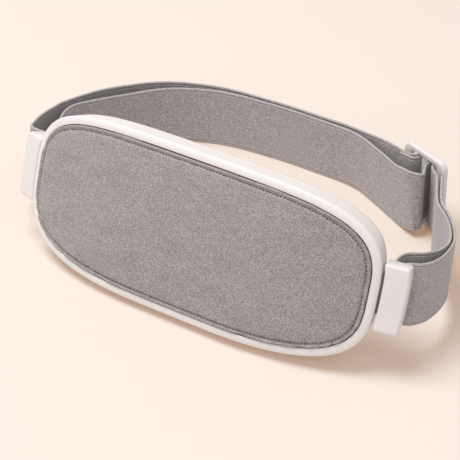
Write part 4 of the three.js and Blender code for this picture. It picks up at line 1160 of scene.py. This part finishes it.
def outline_inset(x, z):
    """Distance inside the cover's outline: (1 - r) / |grad r| with r = (|x/a|^p + |z/b|^p)^(1/p)."""
    p = OUTLINE_POWER
    r = (np.abs(x / COVER_LENGTH) ** p + np.abs(z / COVER_HEIGHT) ** p) ** (1 / p)
    r = np.maximum(r, 1e-6)
    slope_x = (np.abs(x) / COVER_LENGTH) ** (p - 1) / COVER_LENGTH / r ** (p - 1)
    slope_z = (np.abs(z) / COVER_HEIGHT) ** (p - 1) / COVER_HEIGHT / r ** (p - 1)
    return (1 - r) / np.hypot(slope_x, slope_z)


def unbent(points):
    """Points of the shared frame, near the pad's front, as (x, depth, z) on the flat pad."""
    x, y, z = pad_unplace(points).T
    angle = bend_angle(x)
    depth = (y - bend_depth(x)) * np.cos(angle)
    return x + depth * np.sin(angle), depth, z


class BELT_OT_plush_cover(bpy.types.Operator):
    """Plush cover: a crowned pad swollen by a cloth run, sewn down inside its edge"""

    bl_idname = "belt.plush_cover"
    bl_label = "Plush cover"

    def execute(self, context):
        sizes = context.scene.belt_sizes
        profile = [
            (0.25, 0.0, -sizes.crown),
            (0.6, 0.0, -sizes.crown * 0.95),
            (0.85, 0.0, -sizes.crown * 0.72),
            (1.0, -2.6 * MM, -2.0 * MM),
            (1.0, -0.1 * MM, -0.9 * MM),
            (1.0, -0.1 * MM, 1.4 * MM),
            (1.0, -1.4 * MM, 2.0 * MM),
            (0.5, 0.0, 2.0 * MM),
        ]
        rows = outline_rows(rounded(profile, 1.2 * MM, 4), 240)
        mesh = lofted(Form(), rows).mesh("plush_pad")
        piece = add_piece("plush_pad", mesh, "plush")
        context.view_layer.objects.active = piece
        piece.select_set(True)
        piece.data.remesh_voxel_size = 2.6 * MM
        bpy.ops.object.voxel_remesh()
        points = vertex_array(piece.data)
        x, depth, z = unbent(points)
        pinned = (depth > 0.2 * MM) | (np.abs(outline_inset(x, z) - SEAM_INSET) < 1.6 * MM)
        set_vertices(piece.data, simulated(piece, pinned, sizes.pressure, sizes.swell_limit))
        smooth = piece.modifiers.new("even", "SMOOTH")
        smooth.factor, smooth.iterations = 0.5, 3
        fine = piece.modifiers.new("fine", "SUBSURF")
        fine.levels = fine.render_levels = 2
        mesh = evaluated_mesh(piece)
        sew_down(mesh)
        finish_shading(mesh, 180)
        piece.vertex_groups.clear()
        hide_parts("plush_cover")
        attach(piece, "pad")
        sew_stitches(mesh)
        return {"FINISHED"}


def sew_down(mesh):
    """Draws the front in along the seam by a bell curve of the inset, raises the roll outside it and
    spreads it to the rim, and adds shallow waves of the nap and puckers between the stitches."""
    points = vertex_array(mesh)
    x, depth, z = unbent(points)
    inset = outline_inset(x, z)
    front = np.clip((1.2 * MM - depth) / (1.5 * MM), 0, 1)
    angle = np.arctan2(z / COVER_HEIGHT, x / COVER_LENGTH)
    pucker = 1 + 0.2 * np.cos(angle * STITCH_COUNT)
    seam = SEAM_DEPTH * np.exp(-(((inset - SEAM_INSET) / SEAM_WIDTH) ** 2)) * pucker
    roll = -ROLL_HEIGHT * np.exp(-(((inset - ROLL_INSET) / ROLL_WIDTH) ** 2))
    inner = np.clip((inset - 5 * MM) / (12 * MM), 0, 1)
    waves = np.sin(x / 0.013 + 1.3 * np.sin(z / 0.017)) * np.sin(z / 0.011 + 0.9 * np.sin(x / 0.021))
    dents = np.sin(x / 0.0047 + 2 * np.sin(z / 0.0061)) * np.sin(z / 0.0053)
    shift = front * (seam + roll + inner * (0.22 * MM * waves + 0.07 * MM * dents))
    share = np.clip(inset / (2 * MM), 0, 1)
    spread = 2 * MM * (share - share**2) * np.clip((3 * MM - depth) / MM, 0, 1)
    slope_x = np.sign(x) * np.abs(x / COVER_LENGTH) ** (OUTLINE_POWER - 1) / COVER_LENGTH
    slope_z = np.sign(z) * np.abs(z / COVER_HEIGHT) ** (OUTLINE_POWER - 1) / COVER_HEIGHT
    spread /= np.maximum(np.hypot(slope_x, slope_z), 1e-9)
    set_vertices(mesh, pad_place(bent(x + slope_x * spread, depth + shift, z + slope_z * spread)))


def sew_stitches(mesh):
    """Stitches: small ellipsoids of thread, evenly spaced by arc length along the seam and laid on
    the plush where its nearest point is."""
    angle = np.linspace(0, 2 * np.pi, 4000, endpoint=False)
    radius = superellipse_radius(angle)
    x = (COVER_LENGTH - SEAM_INSET) * radius * np.cos(angle)
    z = (COVER_HEIGHT - SEAM_INSET) * radius * np.sin(angle)
    step = np.hypot(np.diff(x, append=x[0]), np.diff(z, append=z[0]))
    length = np.concatenate([[0], np.cumsum(step)])
    middle = (np.arange(STITCH_COUNT) + 0.5) / STITCH_COUNT * length[-1]

    def at(distance):
        share = distance % length[-1]
        return np.stack([np.interp(share, length[:-1], x), np.interp(share, length[:-1], z)], axis=1)

    centre, ahead, behind = at(middle), at(middle + 0.8 * MM), at(middle - 0.8 * MM)
    px, depth, pz = unbent(vertex_array(mesh))
    front = depth < 1.0 * MM
    px, depth, pz = px[front], depth[front], pz[front]
    nearest = np.argmin((px[None] - centre[:, :1]) ** 2 + (pz[None] - centre[:, 1:]) ** 2, axis=1)
    rise = depth[nearest] - 0.12 * MM
    tangent = ahead - behind
    tangent /= np.linalg.norm(tangent, axis=1, keepdims=True)
    lat = np.linspace(-np.pi / 2, np.pi / 2, 9)[1:-1, None]
    lon = np.linspace(0, 2 * np.pi, 8, endpoint=False)[None]
    half_length, half_width, half_height = STITCH_HALVES
    local = np.stack(np.broadcast_arrays(
        np.sin(lat) * half_length,
        np.cos(lat) * np.cos(lon) * half_width,
        np.cos(lat) * np.sin(lon) * half_height,
    ), axis=-1)
    form = Form()
    for c, t, d in zip(centre, tangent, rise):
        across = c[0] + local[..., 0] * t[0] - local[..., 1] * t[1]
        up = c[1] + local[..., 0] * t[1] + local[..., 1] * t[0]
        lofted(form, pad_place(bent(across, d + local[..., 2], up)))
    add_piece("cover_stitches", form.mesh("cover_stitches"), "thread", "pad")


def with_lean(points, lean):
    """Points with their lean as a fourth value."""
    return np.concatenate([points, np.broadcast_to(lean, len(points))[:, None]], axis=1)


def ring_points(shares):
    """Places round the ring: across * half width and back * depth, moved with the pad by the rise,
    and floor + rise * (bar - floor) up."""
    across, back, rise = np.array(shares, float).T
    floor = WEBBING_WIDTH / 2
    bar = end_place((BAR_X, BAR_DEPTH, 0.0), 1)[2]
    flat = np.stack([across * RING_HALF_WIDTH, back * RING_DEPTH, floor + rise * (bar - floor)], axis=1)
    return with_lean(flat + rise[:, None] * PAD_SHIFT + FLOOR_SHIFT, rise)


def spread_points(points, distance):
    """Points moved square to their run in plan: by distance * (along y, -along x)."""
    ends = np.concatenate([points[:1], points, points[-1:]])
    along = (ends[2:] - ends[:-2])[:, :2]
    along /= np.linalg.norm(along, axis=1, keepdims=True)
    out = np.stack([along[:, 1], -along[:, 0]], axis=1)
    return np.concatenate([points[:, :2] + out * distance, points[:, 2:]], axis=1)


def loop_points(side):
    """Round a lug's bar: two places on the inner leg, two quarter circles of the turn's radius about
    the bar's depth, and two places on the outer leg."""
    turn = np.linspace(0, np.pi / 2, 7)
    inner, outer = BAR_X - LOOP_HALF_WIDTH, BAR_X + LOOP_HALF_WIDTH
    x = np.concatenate([
        [inner] * 2,
        inner + LOOP_TURN * (1 - np.cos(turn)),
        outer - LOOP_TURN * (1 - np.sin(turn)),
        [outer] * 2,
    ])
    depth = np.concatenate([
        LOOP_LEGS[::-1],
        BAR_DEPTH - LOOP_TURN * np.sin(turn),
        BAR_DEPTH - LOOP_TURN * np.cos(turn),
        LOOP_LEGS,
    ])
    return with_lean(end_place(np.stack([x, depth, np.zeros(len(x))], axis=1), side), 1.0)


def adjuster_points(places):
    """Places (along, out) of the adjuster, halfway up it: turned about Z and moved to its middle."""
    along, out = np.array(places, float).T * MM
    return with_lean(adjuster_place(np.stack([along, out, np.zeros(len(along))], axis=1)), 0.0)


def tape_route():
    """Rows of (x, y, z, lean), from the sewn end round the belt to the end of the outer layer."""
    right = ring_points(RIGHT_BOTH)
    return np.concatenate([
        adjuster_points(SEWN_END),
        ring_points(INNER_RING)[::-1],
        loop_points(-1),
        ring_points(OUTER_RING),
        adjuster_points(CROSSING),
        spread_points(right, -LAYER_SPREAD / 2)[::-1],
        ring_points(RIGHT_INNER)[::-1],
        loop_points(1),
        ring_points(RIGHT_OUTER),
        spread_points(right, LAYER_SPREAD / 2),
        adjuster_points(RETURN_END),
    ])


def tape_curve(route, spacing=1.1 * MM):
    """Centripetal Catmull-Rom curve through the route's points, by Barry and Goldman's pyramid, then
    spaced evenly: places, leans and the distance run."""
    points = np.concatenate([2 * route[:1] - route[1:2], route, 2 * route[-1:] - route[-2:-1]])
    steps = np.linalg.norm(np.diff(points[:, :3], axis=0), axis=1)
    knots = np.concatenate([[0], np.cumsum(steps**0.5)])
    u = np.linspace(0, 1, 60, endpoint=False)
    pieces = []
    for k in range(1, len(points) - 2):
        p0, p1, p2, p3 = points[k - 1:k + 3]
        t0, t1, t2, t3 = knots[k - 1:k + 3]
        t = (t1 + u * (t2 - t1))[:, None]
        a1 = (t1 - t) / (t1 - t0) * p0 + (t - t0) / (t1 - t0) * p1
        a2 = (t2 - t) / (t2 - t1) * p1 + (t - t1) / (t2 - t1) * p2
        a3 = (t3 - t) / (t3 - t2) * p2 + (t - t2) / (t3 - t2) * p3
        b1 = (t2 - t) / (t2 - t0) * a1 + (t - t0) / (t2 - t0) * a2
        b2 = (t3 - t) / (t3 - t1) * a2 + (t - t1) / (t3 - t1) * a3
        pieces.append((t2 - t) / (t2 - t1) * b1 + (t - t1) / (t2 - t1) * b2)
    dense = np.concatenate(pieces + [points[-2:-1]])
    steps = np.linalg.norm(np.diff(dense[:, :3], axis=0), axis=1)
    run = np.concatenate([[0], np.cumsum(steps)])
    even = np.linspace(0, run[-1], int(run[-1] / spacing) + 1)
    curve = np.stack([np.interp(even, run, dense[:, k]) for k in range(4)], axis=1)
    return curve[:, :3], curve[:, 3], even


# Half of the tape's section, from its middle to its edge: the place in shares of the half width, and
# the half thickness there in shares of the thickness
SECTION_HALF = np.array([
    (0, 0.47), (0.5, 0.47), (0.8, 0.46), (0.85, 0.5), (0.88, 0.47),
    (0.91, 0.42), (0.94, 0.52), (0.97, 0.5), (0.99, 0.34), (1, 0.1),
])


def tape_rows(places, leans):
    """The section carried along the curve. Across stands up, leaning with the pad, square to the
    run."""
    places = places.copy()
    places[:, 2] = np.maximum(places[:, 2], WEBBING_WIDTH / 2)
    along = np.gradient(places, axis=0)
    along /= np.linalg.norm(along, axis=1, keepdims=True)
    pad_up = np.array([0, math.sin(PAD_LEAN), math.cos(PAD_LEAN)])
    lean = np.clip(leans, 0, None)[:, None]
    up = (1 - lean) * np.array([0, 0, 1.0]) + lean * pad_up
    up -= (up * along).sum(axis=1, keepdims=True) * along
    up /= np.linalg.norm(up, axis=1, keepdims=True)
    out = np.cross(along, up)
    face = np.concatenate([SECTION_HALF[:0:-1] * [-1, 1], SECTION_HALF])
    section = np.concatenate([face, face[::-1] * [1, -1]])
    across, half = section[:, 0] * WEBBING_WIDTH / 2, section[:, 1] * WEBBING_THICKNESS
    gathered = 1 - WEBBING_GATHER / WEBBING_WIDTH * np.minimum(1, lean)
    height = across * gathered
    rows = places[:, None] + out[:, None] * half[None, :, None] + up[:, None] * height[..., None]
    return rows, np.append(across, across[0])


def tape_mesh(name, rows, across, run):
    """A stretch of the tape, closed at both ends, with places of (distance run, distance across)."""
    count, around = rows.shape[:2]
    k = np.arange(around)
    r = np.arange(count - 1)[:, None]
    corners = [(r, k), (r, k + 1), (r + 1, k + 1), (r + 1, k)]
    wall = [np.stack(np.broadcast_arrays(run[a], across[b]), axis=-1) for a, b in corners]
    wall = np.stack(wall, axis=2).reshape(-1, 4, 2)

    def cap(value, ks):
        cells = np.stack([np.zeros(around), across[ks[0]], across[ks[1]]], axis=1)
        return np.stack([np.full((around, 3), value), cells], axis=-1)

    places = [wall, cap(run[0], (k + 1, k)), cap(run[-1], (k, k + 1))]
    return Form().add(*closed_rows(rows), places).mesh(name, 60)


class BELT_OT_webbing(bpy.types.Operator):
    """One long elastic tape, cut where it passes between the back and the stretches by the lugs"""

    bl_idname = "belt.webbing"
    bl_label = "Elastic webbing"

    def execute(self, context):
        places, leans, run = tape_curve(tape_route())
        rows, across = tape_rows(places, leans)
        x, y = places[:, 0], places[:, 1]
        left_side = (x < -60 * MM) & (y < -8 * MM)
        right_side = (x > 90 * MM) & (y < -2 * MM)
        kinds = np.where(left_side, "left", np.where(right_side, "right", "back"))
        marks = np.flatnonzero(kinds[1:] != kinds[:-1]) + 1
        edges = [0, *marks.tolist(), len(run) - 1]
        outward = np.array([math.sin(-ADJUSTER_TURN), math.cos(ADJUSTER_TURN), 0])
        reach = ADJUSTER_CENTRE @ outward
        blends = {
            "back": ("pad", "adjuster", outward * (reach - BLEND_FROM), outward * (reach - BLEND_TO)),
            "left": ("pad", "left_lug", (-0.12, -0.012, 0.03), (-0.105, -0.045, 0.04)),
            "right": ("pad", "right_lug", (0.125, -0.006, 0.03), (0.123, -0.045, 0.04)),
        }
        counts = dict.fromkeys(blends, 0)
        replaced = {
            ("back", 1): ("strap_inner", "strap_tail"),
            ("left", 1): ("strap_loop_left",),
            ("back", 2): ("strap_outer", "strap_crossing"),
            ("right", 1): ("strap_loop_right", "strap_right_inner"),
            ("back", 3): ("strap_right_outer",),
        }
        for first, last in zip(edges[:-1], edges[1:]):
            kind = str(kinds[(first + last) // 2])
            counts[kind] += 1
            name, part = f"webbing_{kind}_{counts[kind]}", slice(first, last + 1)
            mesh = tape_mesh(name, rows[part], across, run[part])
            nodes = replaced.get((kind, counts[kind]), ())
            piece = add_piece(name, mesh, "webbing", None, nodes)
            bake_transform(piece)
        return {"FINISHED"}


class BELT_OT_adjuster(bpy.types.Operator):
    """Adjuster: a flat rounded frame with a bar across its middle"""

    bl_idname = "belt.adjuster"
    bl_label = "Adjuster"

    def execute(self, context):
        edge = context.scene.belt_sizes.adjuster_edge
        half = ADJUSTER_THICKNESS / 2
        half_length, half_height = ADJUSTER_LENGTH / 2, ADJUSTER_HEIGHT / 2
        opening = (half_length - ADJUSTER_SIDE_BAR, half_height - ADJUSTER_RAIL)
        outer = rounded_rectangle(half_length, half_height, ADJUSTER_OUTER_CORNER, 9)
        inner = rounded_rectangle(*opening, ADJUSTER_INNER_CORNER, 9)
        turn = np.linspace(0, np.pi / 2, 6)
        shares = edge / ADJUSTER_SIDE_BAR * (1 - np.cos(turn))
        depths = half - edge * (1 - np.sin(turn))
        quarter = np.stack([1 - shares, depths], axis=1)
        upper = np.concatenate([quarter, np.stack([shares, depths], axis=1)[::-1]])
        section = np.concatenate([upper, upper[::-1] * [1, -1]])
        share, depth = section[:, :1, None], section[:, 1:]
        plan = inner[None] + share * (outer - inner)[None]
        rows = np.stack([plan[..., 0], np.broadcast_to(depth, plan.shape[:2]), plan[..., 1]], axis=-1)
        form = ringed(Form(), adjuster_place(rows))
        bar = rounded_rectangle(2.5 * MM, 1.5 * MM, 1.1 * MM)
        lofted(form, adjuster_place(carried_rows(bar, (-ADJUSTER_BAR_REACH, ADJUSTER_BAR_REACH))))
        mesh = form.mesh("adjuster_frame")
        add_piece("adjuster_frame", mesh, "adjuster", "adjuster", ("strap_slider",))
        return {"FINISHED"}


def adjuster_place(points):
    """Adjuster's own frame, X along the strap and depth outwards, turned about Z and moved."""
    x, y, z = np.moveaxis(np.asarray(points, float), -1, 0)
    cosine, sine = math.cos(ADJUSTER_TURN), math.sin(ADJUSTER_TURN)
    return np.stack([x * cosine - y * sine, x * sine + y * cosine, z], axis=-1) + ADJUSTER_CENTRE


class BELT_OT_inner_parts(bpy.types.Operator):
    """Finishes of the heater, cells, board, motor and hinge pins inside the housing"""

    bl_idname = "belt.inner_parts"
    bl_label = "Inner parts"

    def execute(self, context):
        keys = {
            "heating_film": "film",
            "foam_layer": "foam",
            "temperature_sensor": "dark",
            "control_board": "board",
            "battery_cell_right": "foil",
            "battery_cell_left": "foil",
            "vibration_motor": "steel",
            "motor_weight": "steel",
            "motor_saddle": "dark",
            "lug_pin_right": "steel",
            "lug_pin_left": "steel",
            **{f"{name}_switch": "dark" for name in KEYS},
        }
        for node, key in keys.items():
            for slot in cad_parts[node].material_slots:
                slot.material = finish_of(key)
        return {"FINISHED"}


def stage_material(name, colour, shaded, bounce):
    """Floor that the camera sees as a faint glow added to its warm colour, and that throws a paler
    light back on what stands on it."""
    finish = Finish(name, Roughness=0.75)
    path = finish.node("ShaderNodeLightPath", output="Is Camera Ray")
    glossy = finish.node("ShaderNodeLightPath", output="Is Glossy Ray")
    through = finish.node("ShaderNodeLightPath", output="Is Transmission Ray")
    seen = path.largest(glossy).largest(through)
    diffuse = finish.node("ShaderNodeBsdfDiffuse", None, {"Color": shade(shaded, 1)})
    thrown = finish.node("ShaderNodeBsdfDiffuse", None, {"Color": shade(bounce, 1)})
    glow = finish.node("ShaderNodeEmission", None, {"Color": shade(colour, 1), "Strength": 1.0})
    both = finish.node("ShaderNodeAddShader", None, {0: diffuse, 1: glow})
    mixed = finish.node("ShaderNodeMixShader", None, {0: seen, 1: thrown, 2: both})
    output = finish.tree.nodes["Material Output"]
    finish.tree.links.new(mixed.socket, output.inputs["Surface"])
    finish.tree.nodes.remove(finish.shader)
    return finish.material


def area_lamp(name, place, aim, size, power, colour):
    """A round soft lamp turned towards its aim."""
    lamp = bpy.data.lights.new(name, "AREA")
    lamp.shape, lamp.size, lamp.energy, lamp.color = "DISK", size, power, colour
    light = bpy.data.objects.new(name, lamp)
    light.location = place
    light.rotation_euler = (Vector(aim) - Vector(place)).to_track_quat("-Z", "Y").to_euler()
    bpy.context.scene.collection.objects.link(light)


class BELT_OT_stage(bpy.types.Operator):
    """Pale floor, soft lamps, plain world and the photograph's viewpoint"""

    bl_idname = "belt.stage"
    bl_label = "Stage"

    def execute(self, context):
        scene = context.scene
        stage = scene.belt_stage
        square = ((-1, -1), (1, -1), (1, 1), (-1, 1))
        corners = [(x * FLOOR_REACH, y * FLOOR_REACH, 0) for x, y in square]
        mesh = bpy.data.meshes.new("floor")
        mesh.from_pydata(corners, [], [(0, 1, 2, 3)])
        glow, shaded, bounce = stage.floor_glow, stage.floor_shaded, stage.floor_bounce
        mesh.materials.append(stage_material("pale_floor", glow, shaded, bounce))
        floor = bpy.data.objects.new("floor", mesh)
        floor.location.z = -FLOOR_DROP
        scene.collection.objects.link(floor)
        area_lamp(
            "key_lamp", place=(-0.42, -0.3, 1.6), aim=(0, 0, 0), size=1.0, power=stage.key_power,
            colour=(1.0, 0.985, 0.965),
        )
        area_lamp(
            "fill_lamp", place=(0.7, -1.1, 0.9), aim=(0, 0, 0.04), size=1.2, power=stage.fill_power,
            colour=(0.98, 0.99, 1.0),
        )
        world = bpy.data.worlds.new("plain_world")
        world.use_nodes = True
        tree = world.node_tree
        ambient = tree.nodes["Background"]
        ambient.inputs["Color"].default_value = (1.0, 0.985, 0.97, 1)
        ambient.inputs["Strength"].default_value = stage.ambient
        pale = tree.nodes.new("ShaderNodeBackground")
        pale.inputs["Color"].default_value = (0.95, 0.9, 0.86, 1)
        path = tree.nodes.new("ShaderNodeLightPath")
        mix = tree.nodes.new("ShaderNodeMixShader")
        tree.links.new(path.outputs["Is Camera Ray"], mix.inputs[0])
        tree.links.new(ambient.outputs[0], mix.inputs[1])
        tree.links.new(pale.outputs[0], mix.inputs[2])
        tree.links.new(mix.outputs[0], tree.nodes["World Output"].inputs["Surface"])
        scene.world = world
        back = Vector((
            math.sin(VIEW_AZIMUTH) * math.cos(VIEW_ELEVATION),
            -math.cos(VIEW_AZIMUTH) * math.cos(VIEW_ELEVATION),
            math.sin(VIEW_ELEVATION),
        ))
        right = Vector((math.cos(VIEW_AZIMUTH), math.sin(VIEW_AZIMUTH), 0))
        lens = bpy.data.cameras.new("camera")
        lens.sensor_fit, lens.sensor_width, lens.lens = "HORIZONTAL", 36.0, VIEW_LENS
        lens.clip_end = 20.0
        camera = bpy.data.objects.new("camera", lens)
        axes = Matrix((right, back.cross(right), back)).transposed()
        camera.matrix_world = Matrix.Translation(VIEW_PLACE) @ axes.to_4x4()
        scene.collection.objects.link(camera)
        scene.camera = camera
        scene.view_settings.view_transform = "Standard"
        return {"FINISHED"}


def colour_property(name, description, default):
    """A colour in the panel."""
    return bpy.props.FloatVectorProperty(
        name=name, description=description, default=default, subtype="COLOR", size=3, min=0, max=1
    )


def number_property(name, description, default, unit="NONE"):
    """A number in the panel, not below 0."""
    return bpy.props.FloatProperty(
        name=name, description=description, default=default, min=0, unit=unit
    )


def length_property(name, description, default):
    """A length in metres in the panel."""
    return number_property(name, description, default, "LENGTH")


class BeltSizes(bpy.types.PropertyGroup):
    """Sizes in the panel"""

    rim_crest: length_property("Rim crest", "How far the rim stands before the cover's edge", 0.7 * MM)
    crown: length_property("Cover crown", "Height of the cover's middle before it swells", 3.0 * MM)
    swell_limit: length_property("Swell limit", "How far the cloth run may move a point", 1.8 * MM)
    pressure: number_property("Pressure", "Pressure inside the cover's cloth run", 4.0)
    lug_edge: length_property("Lug edge", "Radius of the lugs' front edges", 1.5 * MM)
    adjuster_edge: length_property("Adjuster edge", "Radius of the adjuster's edges", 1.3 * MM)


class BeltColours(bpy.types.PropertyGroup):
    """Colours of the finishes"""

    housing: colour_property("Housing", "Warm white of the housing", (0.80, 0.76, 0.74))
    lug: colour_property("Lugs", "White of the end lugs", (0.78, 0.74, 0.73))
    adjuster: colour_property("Adjuster", "White of the adjuster", (0.76, 0.72, 0.72))
    key: colour_property("Keys", "White of the push keys", (0.78, 0.75, 0.73))
    mark: colour_property("Signs", "Grey of the keys' printed signs", (0.22, 0.22, 0.23))
    dark: colour_property("Black parts", "Black moulded plastic inside", (0.02, 0.02, 0.022))
    plush: colour_property("Plush", "Grey of the cover", (0.37, 0.342, 0.338))
    webbing: colour_property("Webbing", "Grey of the elastic tape", (0.43, 0.402, 0.402))
    thread: colour_property("Thread", "Dark grey of the stitches", (0.09, 0.08, 0.078))
    steel: colour_property("Steel", "Plated steel", (0.62, 0.62, 0.63))
    film: colour_property("Film", "Amber of the heater film", (0.46, 0.17, 0.03))
    foam: colour_property("Foam", "Cream of the foam layer", (0.70, 0.66, 0.58))
    board: colour_property("Board", "Green of the control board", (0.02, 0.14, 0.06))
    foil: colour_property("Cells", "Silver of the battery cells", (0.38, 0.40, 0.43))
    lens: colour_property("Lens", "Milky white of the light window", (0.80, 0.79, 0.76))


class BeltStage(bpy.types.PropertyGroup):
    """Colours and powers of the stage"""

    floor_shaded: colour_property("Floor", "What the floor shows in light", (0.585, 0.60, 0.595))
    floor_glow: colour_property("Floor glow", "Added where the floor is seen", (0.25, 0.12, 0.05))
    floor_bounce: colour_property("Floor bounce", "What the floor throws back", (0.74, 0.68, 0.65))
    key_power: number_property("Key lamp", "Power of the lamp above on the left", 22.0, "POWER")
    fill_power: number_property("Fill lamp", "Power of the lamp in front", 2.5, "POWER")
    ambient: number_property("Ambient", "Strength of the plain world light", 0.55)


OPERATORS = (
    BELT_OT_stage,
    BELT_OT_front_housing,
    BELT_OT_rear_housing,
    BELT_OT_keys,
    BELT_OT_rear_fittings,
    BELT_OT_plush_cover,
    BELT_OT_lugs,
    BELT_OT_webbing,
    BELT_OT_adjuster,
    BELT_OT_inner_parts,
)


class BELT_PT_panel(bpy.types.Panel):
    """Sizes, colours and the buttons that build each piece"""

    bl_idname = "BELT_PT_panel"
    bl_label = "Heated belt"
    bl_space_type = "VIEW_3D"
    bl_region_type = "UI"
    bl_category = "Heated belt"

    def draw(self, context):
        layout = self.layout
        scene = context.scene
        for group in (scene.belt_sizes, scene.belt_colours, scene.belt_stage):
            box = layout.box()
            for name in group.__annotations__:
                box.prop(group, name)
        for operator in OPERATORS:
            layout.operator(operator.bl_idname)


GROUPS = {"belt_sizes": BeltSizes, "belt_colours": BeltColours, "belt_stage": BeltStage}


def register():
    for part in (*GROUPS.values(), *OPERATORS, BELT_PT_panel):
        bpy.utils.register_class(part)
    for name, group in GROUPS.items():
        setattr(bpy.types.Scene, name, bpy.props.PointerProperty(type=group))


def unregister():
    for name in GROUPS:
        delattr(bpy.types.Scene, name)
    for part in (BELT_PT_panel, *reversed(OPERATORS), *GROUPS.values()):
        bpy.utils.unregister_class(part)


def main():
    register()
    for operator in OPERATORS:
        group, name = operator.bl_idname.split(".")
        getattr(getattr(bpy.ops, group), name)()


if __name__ == "__main__":
    main()
